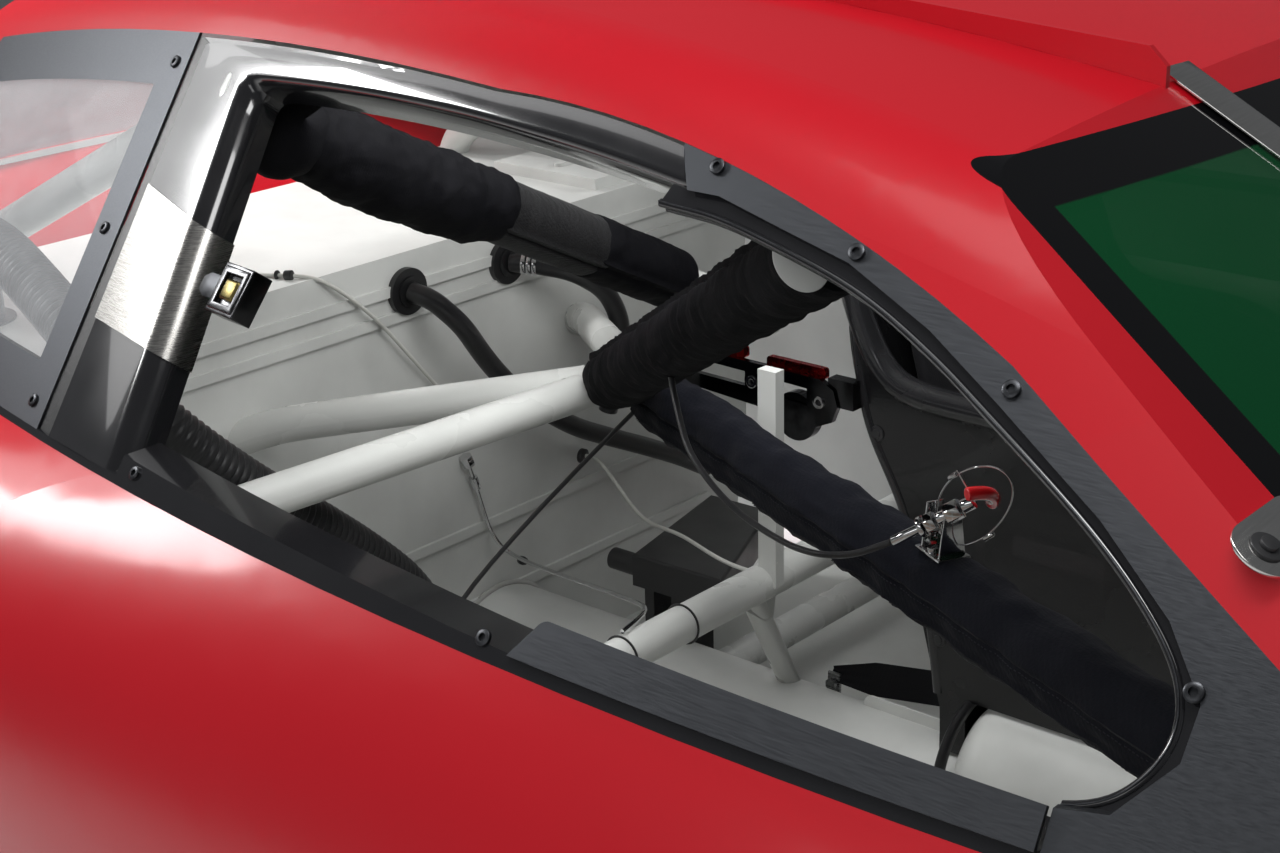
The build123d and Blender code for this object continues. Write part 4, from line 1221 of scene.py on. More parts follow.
@dataclass
class CagePads(Fitting):
    """The three bar pads that the side window shows, and the pad over the hoop's corner.

    The diagonal pad is three sleeves, whose ends are shares of the way from its top to its foot.
    """

    top: Point = (-0.115, -0.492, 1.067)
    foot: Point = (-0.115, 0.1225, 0.7605)
    loose_end: float = 0.50
    hooked_start: float = 0.46
    hooked_end: float = 0.755
    plain_start: float = 0.735
    upper_seam: float = -0.80
    upper_stitches: float = -0.80 - 0.15
    lower_seams: tuple[float, float] = (-1.35, -2.0)
    lower_stitches: tuple[float, float] = (-1.35 - 0.13, -2.0 - 0.13)
    stitch_size: Point = (0.0009, 0.0008, 0.0032)
    stitch_pitch: float = 0.0055
    boot_size: Point = (0.041, 0.052, 0.046)
    boot_place: Point = (-0.110, -0.482, 1.054)

    def stitches(self, name: str, pad: SleevePad, angle: float) -> None:
        """Lays a row of stitches along a pad.

        Args:
            name: its name.
            pad: the pad.
            angle: where round the pad it runs.
        """
        length = (Vector(pad.end) - Vector(pad.start)).length
        place = aimed(pad.start, pad.end)
        pattern = Bench.soften(Bench.block("stitch", self.stitch_size), 0.0003, 1)
        round_it = Vector((math.sin(angle), math.cos(angle), 0.0))
        turn = Matrix.Rotation(-angle, 4, "Z")
        made = []
        for step in range(3, int(length / self.stitch_pitch) - 2):
            along = step * self.stitch_pitch
            flat = round_it * pad.radius + Vector((0.0, 0.0, along))
            reach = pad.swell(angle, along, length, flat) + 0.0002
            spot = Matrix.Translation(round_it * reach + Vector((0.0, 0.0, along))) @ turn
            made.append(Bench.copied(pattern, place @ spot))
        Bench.drop(pattern)
        self.dress(Bench.join(name, made), "thread", "pad_cloth")

    def build(self) -> None:
        """Models the pads, their stitches, the plate on the upper one and the pad over the corner."""
        top, span = Vector(self.top), Vector(self.foot) - Vector(self.top)
        middle, upper_half, lower_half = (
            tuple(top + span * share) for share in (self.loose_end, self.hooked_start, self.hooked_end)
        )
        loose = SleevePad("pad_diagonal_loose", self.top, middle, "pad_cloth",
                          radius=0.040, sag=0.014, crumple=0.0044, hem=0.012, fill=0.5)
        loose.build(self.finishes, "pad_diagonal")
        hooked = SleevePad("pad_diagonal_hooked", upper_half, lower_half, "hook_cloth",
                           radius=0.0375, crumple=0.0009, seams=(-2.2,))
        hooked.build(self.finishes)
        plain = SleevePad("pad_diagonal_plain", tuple(top + span * self.plain_start), self.foot, "pad_cloth",
                          radius=0.0388, crumple=0.0020, hem=0.008, seams=(-2.1,))
        plain.build(self.finishes)
        upper = SleevePad("pad_upper_cover", (-0.077, -0.0404, 0.6817), (0.584, -0.5128, 1.0557), "pad_cloth",
                          pleat=0.0019, crumple=0.0026, seams=(self.upper_seam,), rows=230, sides=96)
        upper.build(self.finishes, "pad_upper")
        self.bar_plate()
        self.stitches("pad_upper_stitches", upper, self.upper_stitches)
        lower = SleevePad("pad_lower_cover", (-0.070, 0.0286, 0.644), (1.187, -0.6185, 0.7006), "denim",
                          crumple=0.0042, seams=self.lower_seams, rows=320)
        lower.build(self.finishes, "pad_lower")
        for name, angle in zip(("pad_lower_stitches", "pad_lower_stitches_low"), self.lower_stitches):
            self.stitches(name, lower, angle)
        self.boot()
        log.info("cage pads: three bars and the hoop's corner")

    def boot(self) -> None:
        """Models the crumpled pad over the hoop's corner."""
        Bench.only()
        bpy.ops.mesh.primitive_uv_sphere_add(segments=40, ring_count=24, radius=1.0)
        boot = Bench.named("pad_boot")
        boot.scale = self.boot_size
        Bench.settle(boot)
        with Edit(boot) as edit:
            edit.move(lambda p: p + p.normalized() * (0.003 * ripple(p, 24.0) + 0.0015 * ripple(p, 60.0)))
        Bench.settle(boot, Matrix.Translation(self.boot_place))
        self.dress(boot, "pad_cloth", "pad_cloth", angle=80.0)

    def bar_plate(self) -> None:
        """Models the small oval plate with two bolts at the upper pad's top."""
        plate = Bench.drum("pad_upper_plate", 0.0205, 0.004, 48)
        plate.scale = (1.28, 1.0, 1.0)
        Bench.settle(plate)
        Bench.soften(plate, 0.0012)
        bolts = [
            Bench.stud("bolt", 0.0036, 0.003, 6, 0.0005, Matrix.Translation((x, 0.011, 0.003)))
            for x in (-0.0105 - 0.003, 0.0105 - 0.003)
        ]
        place = plane_place((0.5737, -0.5423, 1.0478), (0.62, 0.10, -0.78), (0.6129, -0.7304, 0.3014))
        for piece in (plate, *bolts):
            Bench.settle(piece, place)
        self.dress(plate, "cage_paint", "cage_paint", angle=40.0)
        self.dress(Bench.join("pad_upper_plate_bolts", bolts), "steel", "steel", angle=40.0)


@dataclass
class AirHose(Fitting):
    """Ribbed air hose behind the pillar, with the same control points as in the CAD."""

    radius: float = 0.0295
    rib: float = 0.0030
    pitch: float = 0.0095
    wall: float = 0.0018
    route: tuple[Point, ...] = (
        (-0.640, -0.530, 0.792), (-0.640, -0.532, 0.850), (-0.590, -0.548, 0.890), (-0.500, -0.572, 0.893),
        (-0.400, -0.598, 0.872), (-0.300, -0.618, 0.838), (-0.215, -0.620, 0.788), (-0.186, -0.586, 0.738),
        (-0.176, -0.520, 0.672), (-0.174, -0.440, 0.606), (-0.172, -0.370, 0.545), (-0.170, -0.305, 0.480),
        (-0.170, -0.262, 0.400), (-0.172, -0.245, 0.310), (-0.174, -0.240, 0.215), (-0.174, -0.240, 0.122),
    )

    def build(self) -> None:
        """Runs ribs along the route."""
        path = Bench.path("hose_path", self.route, 3)
        path.data.resolution_u = 16
        length = path.data.splines[0].calc_length()
        count = int(length / self.pitch)
        pitch = length / count
        rib = Bench.drum("air_hose_ribs", self.radius - self.rib, pitch, 30, "NOTHING")
        Bench.settle(rib, Matrix.Translation((pitch / 2, 0.0, 0.0)) @ Matrix.Rotation(math.pi / 2, 4, "Y"))
        with Edit(rib) as edit:
            edit.edges(lambda a, b: abs(a.x - b.x) > pitch * 0.5)
            edit.cut(3)

            def bulge(point: Vector) -> Vector:
                """Rounds the rib outwards."""
                inside = 0.0 < point.x < pitch
                lift = self.rib * math.sin(math.pi * point.x / pitch) ** 1.4 if inside else 0.0
                ring = Vector((0.0, point.y, point.z)).normalized() * (self.radius - self.rib + lift)
                return Vector((point.x, ring.y, ring.z))

            edit.move(bulge)
        Bench.modify(rib, "ARRAY", count=count, use_merge_vertices=True, merge_threshold=0.0002)
        Bench.modify(rib, "CURVE", object=path, deform_axis="POS_X")
        Bench.drop(path)
        Bench.modify(rib, "SOLIDIFY", thickness=self.wall, offset=-1.0)
        self.dress(rib, "hose_rubber", "black_rubber", "air_hose", angle=70.0)
        log.info("air hose: %d ribs on %.2f m", count, length)


@dataclass
class OpeningTrim(Fitting):
    """Gloss lip round the inside of the window opening, with a bead on each side and a bright edge."""

    outline: tuple[SidePoint, ...] = (
        (0.500, 1.1115), (0.519, 1.1105), (0.551, 1.1105), (0.620, 1.0985), (0.686, 1.0855),
        (0.730, 1.0720), (0.769, 1.0565), (0.805, 1.0410), (0.840, 1.0235), (0.889, 1.0000),
        (0.935, 0.9765), (0.970, 0.9560), (1.000, 0.9355), (1.022, 0.9170), (1.034, 0.9000),
        (1.0385, 0.8840), (1.036, 0.8690), (1.025, 0.8500), (1.006, 0.8365), (0.985, 0.8320),
    )
    middle: SidePoint = (0.55, 0.93)
    drop: float = 0.0075
    lap: float = 0.006
    reach: float = 0.0125
    thickness: float = 0.0025
    bead: float = 0.0034
    back: float = 0.0030
    back_drop: float = 0.010
    bright_edge: float = 0.0007

    def build(self) -> None:
        """Models the lip on both sides."""
        heart = SIDE.point(*self.middle)
        out = SIDE.out(0.6, 1.0)
        outer, inner = [], []
        for x, z in self.outline:
            place = SIDE.point(x, z, -self.drop)
            toward = heart - place
            toward = (toward - out * toward.dot(out)).normalized()
            outer.append(place - toward * self.lap)
            inner.append(place + toward * self.reach)
        inner[0] = inner[0] + Vector((-0.01, 0.0, 0.0))
        flange = self.flange(outer, inner)
        bead = Bench.line("bead", inner, self.bead)
        back = Bench.line("back", [point - out * self.back_drop for point in inner], self.back)
        lip = Bench.both_sides(Bench.join("opening_lip", [flange, bead, back]))
        self.dress(lip, "black_gloss", "black_gloss", angle=50.0)
        edge = Bench.line("lip_edge", [point + out * self.bead for point in inner], self.bright_edge)
        self.dress(Bench.both_sides(edge), "bolt", "bright_aluminium", angle=50.0)
        log.info("opening lip: both sides")

    def flange(self, outer: list[Vector], inner: list[Vector]) -> bpy.types.Object:
        """Models the sheet between two edges.

        Args:
            outer: control points of the edge under the trims.
            inner: control points of the free edge.

        Returns:
            The sheet.
        """
        flange = Bench.line("flange", outer, 0.0)
        count = len(flange.data.vertices)
        guide = Bench.line("guide", inner, 0.0)
        steps = [guide.data.vertices[n].co - flange.data.vertices[n].co for n in range(count)]
        Bench.drop(guide)
        with Edit(flange) as edit:
            edit.all()
            edit.pull(0.0, 0.0, 0.0)
            mesh = bmesh.from_edit_mesh(flange.data)
            mesh.verts.ensure_lookup_table()
            for n in range(count):
                mesh.verts[count + n].co = mesh.verts[n].co + steps[n]
            bmesh.update_edit_mesh(flange.data)
        Bench.modify(flange, "SOLIDIFY", thickness=self.thickness, offset=0.0)
        with Edit(flange) as edit:
            edit.outward()
        return flange


@dataclass
class PullHandle(Fitting):
    """Chrome clamp body, red grip and safety wire of the pull handle.

    Each part of the shaft is its distance from the start, its length, its radius and its faces.
    """

    start: Point = (0.512, -0.320, 0.719)
    end: Point = (0.594, -0.290, 0.776)
    shaft: tuple[tuple[float, float, float, int], ...] = (
        (0.002, 0.030, 0.0047, 16), (0.033, 0.005, 0.0105, 24), (0.040, 0.010, 0.0098, 6),
        (0.052, 0.010, 0.0062, 20), (0.062, 0.015, 0.0102, 6), (0.079, 0.012, 0.0066, 12),
    )
    grip_way: Point = (0.0, 0.893, -0.45)
    grip_radius: float = 0.0068
    grip_bow: tuple[SidePoint, ...] = (
        (-0.0250, -0.0075), (-0.018, -0.0015), (-0.006, 0.0032),
        (0.006, 0.0032), (0.018, -0.0015), (0.0250, -0.0075),
    )
    saddle: Point = (0.552, -0.293, 0.711)
    saddle_way: Point = (0.888, -0.457, 0.0)
    plate: float = 0.0028
    loop: tuple[SidePoint, ...] = (
        (0.537, 0.738), (0.541, 0.762), (0.558, 0.786), (0.583, 0.804), (0.607, 0.811), (0.623, 0.799),
        (0.623, 0.775), (0.610, 0.750), (0.590, 0.731), (0.568, 0.7215), (0.548, 0.724),
    )
    crimps: tuple[tuple[Point, Point], ...] = (
        ((0.562, -0.296, 0.789), (0.568, -0.297, 0.794)),
        ((0.603, -0.298, 0.741), (0.597, -0.299, 0.736)),
    )
    pin: tuple[Point, ...] = ((0.566, -0.296, 0.796), (0.572, -0.294, 0.786), (0.579, -0.292, 0.774))

    def bracket(self) -> list[bpy.types.Object]:
        """Models the bracket on the pad: a base, two tapered ears and two bolts.

        Returns:
            Its pieces.
        """
        way = Vector(self.saddle_way).normalized()
        across = Vector((-way.y, way.x, 0.0))
        saddle = Vector(self.saddle)
        turn = Matrix((across, Vector(UP), way)).transposed().to_4x4()
        made = []
        for shift in (-0.017, 0.015):
            ear = Bench.block("ear", (0.028, 0.045, self.plate))
            with Edit(ear) as edit:
                edit.move(lambda p: Vector((p.x * (0.62 if p.y > 0.0 else 1.0), p.y, p.z)))
            place = saddle + way * shift + Vector((0.0, 0.0, 0.0225))
            made.append(Bench.settle(Bench.soften(ear, 0.0009), Matrix.Translation(place) @ turn))
        base = Bench.soften(Bench.block("base", (0.044, 0.034, self.plate)), 0.0009)
        middle = saddle + way * -0.001
        made.append(Bench.settle(base, plane_place(tuple(middle), self.saddle_way, UP)))
        for reach in (-0.012, 0.012):
            spot = middle + across * reach + Vector((0.0, 0.0, 0.003))
            made.append(Bench.stud("bolt", 0.0042, 0.006, 6, 0.0006, Matrix.Translation(spot)))
        return made

    def build(self) -> None:
        """Models grip, nuts, wire loop and crimps."""
        start, end = Vector(self.start), Vector(self.end)
        ahead = (end - start).normalized()
        way = Vector(self.grip_way).normalized()
        points = [end + way * reach + ahead * rise for reach, rise in self.grip_bow]
        grip = Bench.line("grip_core", points, self.grip_radius, sides=6)
        Bench.modify(grip, "REMESH", mode="VOXEL", voxel_size=0.0013)
        Bench.modify(grip, "SMOOTH", factor=0.7, iterations=6)
        grip.name = "pull_grip"
        self.dress(grip, "grip_red", "red_anodised", angle=60.0)
        nuts = []
        for along, length, radius, sides in self.shaft:
            place = aimed(tuple(start + ahead * along), self.end) @ Matrix.Translation((0, 0, length / 2))
            nuts.append(Bench.stud("nut", radius, length, sides, 0.0008, place))
        nuts += self.bracket()
        self.dress(Bench.join("pull_nuts", nuts), "chrome", "steel", "pull_handle", angle=30.0)
        loop = [(x, -0.290 + 0.010 * math.sin(x * 40.0), z) for x, z in self.loop]
        made = [Bench.line("safety_wire", loop, 0.0009, closed=True)]
        for here, there in self.crimps:
            made.append(Bench.stud("crimp", 0.0024, 0.011, 12, 0.0006, aimed(here, there)))
        made.append(Bench.line("pin", self.pin, 0.0013))
        self.dress(Bench.join("safety_loop", made), "chrome", "steel", angle=40.0)
        log.info("pull handle: grip, nuts, bracket, loop")


@dataclass
class NetLatch(Fitting):
    """Push-button latch of the window net on each rear pillar."""

    x: float = 0.048
    z: float = 0.962
    width: float = 0.046
    height: float = 0.048
    depth: float = 0.022

    def build(self) -> None:
        """Models the housing, its button and its steel tab."""
        place = SIDE.frame(self.x, self.z, 0.0)
        body = Bench.block("latch_body", (self.width, self.height, self.depth))
        with Edit(body) as edit:
            edit.faces(lambda middle, normal: normal.z > 0.9)
            edit.inset(0.0035)
            edit.pull(0.0, 0.0, 0.0015)
            edit.inset(0.006)
            edit.pull(0.0, 0.0, -0.005)
        Bench.soften(body, 0.0025, 3)
        Bench.settle(body, place @ Matrix.Translation((0.0, 0.0, -0.0015)))
        self.dress(Bench.both_sides(body), "latch_steel", "black_satin", "net_latches", angle=45.0)
        button = Bench.soften(Bench.block("latch_button", (0.022, 0.020, 0.008)), 0.003, 3)
        Bench.settle(button, place @ Matrix.Translation((0.002, 0.0, 0.008)))
        self.dress(Bench.both_sides(button), "button_gold", "bright_aluminium", angle=50.0)
        tab = Bench.block("latch_tab", (0.060, 0.024, 0.003))
        with Edit(tab) as edit:
            edit.faces(lambda middle, normal: normal.x < -0.9)
            edit.pull(-0.010, 0.0, 0.0)
            bpy.ops.transform.resize(value=(1.0, 0.55, 1.0))
        Bench.soften(tab, 0.0008)
        Bench.settle(tab, place @ Matrix.Translation((-0.030, 0.0, -0.0065)))
        self.dress(Bench.both_sides(tab), "bolt", "steel")
        log.info("net latches: both sides")


@dataclass
class WindowTrim(Fitting):
    """Crowned gloss trim of the rear pillar and the header, its polished sleeve and the sill plate.

    The seam is a share of the pillar's width, within which the trim sinks. The roll is the radius of
    the rounded inner edge, and the depth is how far that edge reaches into the car.
    """

    rear_foot: SidePoint = (-0.1765, 0.806)
    rear_top: SidePoint = (-0.205, 1.1445)
    front_foot: SidePoint = (-0.014, 0.806)
    front_top: SidePoint = (-0.0757, 1.1065)
    seam: float = 0.188
    sunk: float = 0.003
    roll: float = 0.026
    depth: float = 0.040
    pillar_steps: int = 22
    corner: tuple[tuple[float, SidePoint], ...] = (
        (-0.200, (-0.0742, 1.1120)), (-0.190, (-0.0712, 1.1160)), (-0.176, (-0.0650, 1.1180)),
    )
    header_steps: int = 44
    header_outer: SidePoint = (-0.176, 0.675)
    header_inner: SidePoint = (-0.065, 0.582)
    sleeve_low: float = 0.905
    sleeve_high: float = 1.020
    sleeve_steps: int = 8

    def roof_edge(self, x: float) -> float:
        """Height of the roof's edge over the trim.

        Args:
            x: place along the car.

        Returns:
            Its height.
        """
        if x < 0.276:
            return 1.0855 + 0.12634 * (x + 0.674) - 0.11774 * (x + 0.674) * (x + 0.207)
        return 1.1515 - 0.09657 * (x - 0.276) - 0.38629 * (x - 0.276) * (x - 0.597)

    def head_edge(self, x: float) -> float:
        """Height of the opening's upper edge.

        Args:
            x: place along the car.

        Returns:
            Its height.
        """
        return 1.118 + 0.02116 * (x + 0.078) - 0.1502 * (x + 0.078) * (x - 0.300)

    def stations(self) -> list[Station]:
        """Outer and inner edge of the trim, from the pillar's foot round to the front.

        Returns:
            Pairs of points in side view.
        """
        made = []
        for step in range(self.pillar_steps + 1):
            share = step / self.pillar_steps
            rear = between(self.rear_foot, self.rear_top, share)
            made.append((rear, between(self.front_foot, self.front_top, share)))
        made += [((x, self.roof_edge(x)), inner) for x, inner in self.corner]
        for step in range(1, self.header_steps + 1):
            top, low = (
                start + length * step / self.header_steps
                for start, length in (self.header_outer, self.header_inner)
            )
            made.append(((top, self.roof_edge(top)), (low, self.head_edge(low))))
        return made

    def skin(self, station: Station, v: float, lift: float) -> Vector:
        """A point of the trim's cross-section.

        Args:
            station: outer and inner edge.
            v: 0 at the outer edge, 1 where the roll starts, 2 at its end and 3 inside the car.
            lift: distance above the trim.

        Returns:
            The point.
        """
        outer, inner = station
        a, b = (SIDE.point(*p) for p in (outer, inner))
        toward = (b - a).normalized()
        width = (b - a).length
        out = SIDE.out(*inner)
        crown = 0.008 * width
        roll = min(self.roll, 0.36 * width)
        edge = b - toward * roll
        if v <= 1.0:
            place = a + (edge - a) * v
            gap = v < self.seam and width > 0.08
            rise = -self.sunk if gap else crown * (1.0 - (2.0 * v - 1.0) ** 2)
            return place + out * (rise + lift)
        if v <= 2.0:
            turn = (v - 1.0) * math.pi / 2
            reach = roll + lift
            return edge + toward * (reach * math.sin(turn)) + out * (reach * math.cos(turn) - roll)
        return b + toward * lift - out * (roll + (v - 2.0) * (self.depth - roll))

    def sweep(
        self, name: str, stations: list[Station], rows: list[float], lift: float, thickness: float
    ) -> bpy.types.Object:
        """Models a strip of the trim.

        Args:
            name: its name.
            stations: where it runs.
            rows: its cross-section.
            lift: distance above the trim.
            thickness: sheet thickness.

        Returns:
            The strip, with its mirror image on the left.
        """
        columns, lines = len(stations) - 1, len(rows) - 1

        def place(u: float, v: float) -> Vector:
            """Place of a grid point on the trim."""
            return self.skin(stations[round(u * columns)], rows[round(v * lines)], lift)

        strip = Bench.grid(name, columns, lines, place)
        with Edit(strip) as edit:
            edit.outward()
            mesh = bmesh.from_edit_mesh(strip.data)
            out = SIDE.out(0.0, 1.0)
            if sum(face.normal.dot(out) * face.calc_area() for face in mesh.faces) < 0.0:
                bpy.ops.mesh.flip_normals()
        Bench.modify(strip, "SOLIDIFY", thickness=thickness, offset=-1.0)
        return Bench.both_sides(strip)

    def build(self) -> None:
        """Models trim, sleeve and sill plates."""
        stations = self.stations()
        crown = [0.22 + 0.78 * n / 12 for n in range(13)] + [1.0 + n / 10 for n in range(1, 11)]
        trim = self.sweep("window_trim", stations, [0.0, 0.09, 0.184, 0.192, *crown, 2.4, 3.0], 0.0, 0.002)
        self.dress(trim, "trim_gloss", "black_gloss", "b_pillar_covers", "header_trims", angle=35.0)
        pillar = stations[: self.pillar_steps + 2]
        gap = self.sweep("pillar_gap", pillar, [0.0, 0.09, 0.181], 0.0006, 0.0005)
        self.dress(gap, "black_rubber", "black_rubber", angle=35.0)
        foot, rise = self.rear_foot[1], 0.3385
        low, high = (self.sleeve_low - foot) / rise, (self.sleeve_high - foot) / rise
        wrap = []
        for step in range(self.sleeve_steps + 1):
            share = low + (high - low) * step / self.sleeve_steps
            x, z = between(self.front_foot, self.front_top, share)
            wrap.append((between(self.rear_foot, self.rear_top, share), (x, z + 0.004)))
        sleeve = self.sweep("pillar_wrap", wrap, [0.198, *crown, 2.5, 3.0], 0.0022, 0.0014)
        self.dress(sleeve, "sleeve_steel", "bright_aluminium", "pillar_sleeves", angle=50.0)
        self.sill_plate()
        log.info("window trim: pillar, header, sleeve, sill plate")

    def sill_plate(self) -> None:
        """Models the thin brushed plate over the sill."""

        def place(u: float, v: float) -> Vector:
            """Place of a grid point on the plate."""
            low = between((0.532, 0.8085), (0.971, 0.8085), u)
            high = between((0.553, 0.836), (0.969, 0.832), u)
            return SIDE.point(*between(low, high, v), 0.003)

        def corner(a: Vector, b: Vector) -> bool:
            """Whether an edge is the plate's upper rear corner."""
            return a.x < 0.556 and min(a.z, b.z) > 0.833 and abs(a.x - b.x) < 0.003

        plate = Bench.grid("sill_plate", 36, 1, place)
        Bench.modify(plate, "SOLIDIFY", thickness=0.004, offset=0.0)
        with Edit(plate) as edit:
            edit.outward()
            edit.edges(corner)
            bpy.ops.mesh.bevel(offset=0.006, segments=5)
        self.dress(Bench.both_sides(plate), "dark_aluminium", "dark_aluminium", "sill_plates", angle=30.0)


@dataclass
class ScreenFittings(Fitting):
    """Straps down the windshield and round tabs at its lower corners."""

    strap_y: float = 0.268
    strap_width: float = 0.042
    strap_low: float = 0.815
    strap_high: float = 1.172
    tab: SidePoint = (-0.706, 0.9785)
    radius: float = 0.0225
    buttons: tuple[tuple[float, float, float], ...] = (
        (-0.706, 0.0115, 0.0065), (-0.706, 0.0060, 0.0095), (-0.664, 0.0085, 0.0065),
    )

    @staticmethod
    def on_glass(y: float, z: float, lift: float = 0.0) -> Matrix:
        """Axes on the windshield: across the car, up the glass, outwards.

        Args:
            y: place across the car.
            z: height.
            lift: distance out from the glass.

        Returns:
            A placing matrix.
        """
        out = Vector((1.0, y / 4.0, 1.835)).normalized()
        place = Vector((1.430 - y * y / 8.0 - (z - 0.8) / 0.545, y, z)) + out * lift
        return plane_place(tuple(place), LEFT, tuple(out))

    def build(self) -> None:
        """Models straps, tabs and buttons."""

        def place(u: float, v: float) -> Vector:
            """Place of a grid point on the strap."""
            y = -self.strap_y + (u - 0.5) * self.strap_width
            z = self.strap_low + v * (self.strap_high - self.strap_low)
            return self.on_glass(y, z, 0.0042).to_translation()

        strap = Bench.grid("screen_strap", 2, 40, place)
        Bench.modify(strap, "SOLIDIFY", thickness=0.002, offset=0.0)
        with Edit(strap) as edit:
            edit.outward()
        Bench.soften(strap, 0.0006)
        tab = Bench.drum("screen_tab", self.radius, 0.003, 48)
        with Edit(tab) as edit:
            edit.move(lambda p: Vector((p.x + (0.044 if p.x > 0.0 else 0.0), p.y, p.z)))
        Bench.soften(tab, 0.0008)
        Bench.settle(tab, self.on_glass(*self.tab, 0.0045))
        straps = Bench.both_sides(Bench.join("screen_straps_and_tabs", [strap, tab]))
        self.dress(straps, "bright_aluminium", "bright_aluminium", "screen_straps", angle=35.0)
        discs = [
            Bench.stud("button", radius, 0.004, 28, 0.0009, self.on_glass(y, self.tab[1], lift))
            for y, radius, lift in self.buttons
        ]
        buttons = Bench.both_sides(Bench.join("screen_buttons", discs))
        self.dress(buttons, "black_satin", "black_satin", angle=30.0)
        log.info("windshield fittings: both sides")


@dataclass
class CabinLines(Fitting):
    """Hard brake line, vent line, release rod and the white line over the tray."""

    hard: tuple[Point, ...] = (
        (-0.441, 0.060, 0.470), (-0.441, 0.084, 0.403), (-0.440, 0.092, 0.362), (-0.424, 0.100, 0.326),
        (-0.395, 0.118, 0.306), (-0.160, -0.024, 0.391), (0.064, -0.159, 0.472), (0.082, -0.172, 0.476),
        (0.092, -0.190, 0.477), (0.098, -0.232, 0.474),
    )
    vent: tuple[Point, ...] = (
        (-0.445, 0.290, 0.400), (-0.425, 0.300, 0.404), (-0.395, 0.290, 0.398), (-0.330, 0.262, 0.370),
        (-0.250, 0.215, 0.366), (-0.150, 0.160, 0.400), (-0.060, 0.100, 0.420), (0.020, 0.058, 0.432),
        (0.074, 0.036, 0.446),
    )
    rod: tuple[Point, ...] = (
        (-0.113, 0.098, 0.636), (-0.136, -0.261, 0.470), (-0.128, -0.300, 0.420),
        (-0.118, -0.330, 0.330), (-0.115, -0.340, 0.2165),
    )
    tray: tuple[Point, ...] = (
        (-0.560, -0.225, 0.7745), (-0.500, -0.205, 0.7765), (-0.462, -0.190, 0.7800),
        (-0.444, -0.165, 0.772), (-0.441, -0.120, 0.735), (-0.440, -0.078, 0.695),
        (-0.440, -0.040, 0.648), (-0.440, 0.020, 0.577), (-0.443, 0.050, 0.540),
    )

    def build(self) -> None:
        """Models the lines and their clamps."""
        for name, route, radius, finish, *node in (
            ("hard_line", self.hard, 0.0030, "chrome", "steel_lines"),
            ("vent_line", self.vent, 0.0027, "white_hose"),
            ("release_rod", self.rod, 0.0030, "black_satin"),
            ("tray_line", self.tray, 0.0027, "white_hose"),
        ):
            self.dress(Bench.line(name, route, radius, sides=3), finish, "steel", *node, angle=70.0)
        clamps = []
        for place, way, radius, length in (
            ((-0.472, -0.195, 0.7795), (1.0, 0.35, 0.1), 0.0062, 0.010),
            ((-0.488, -0.200, 0.7780), (1.0, 0.35, 0.1), 0.0062, 0.003),
            ((-0.398, 0.117, 0.3075), (0.9, -0.5, 0.3), 0.0062, 0.011),
            ((-0.438, 0.292, 0.401), (1.0, 0.2, 0.0), 0.0110, 0.008),
        ):
            spot = aimed(place, tuple(Vector(place) + Vector(way)))
            clamps.append(Bench.stud("clamp", radius, length, 20, 0.0008, spot))
        self.dress(Bench.join("line_clamps", clamps), "black_satin", "black_satin", angle=40.0)
        log.info("cabin lines: four")


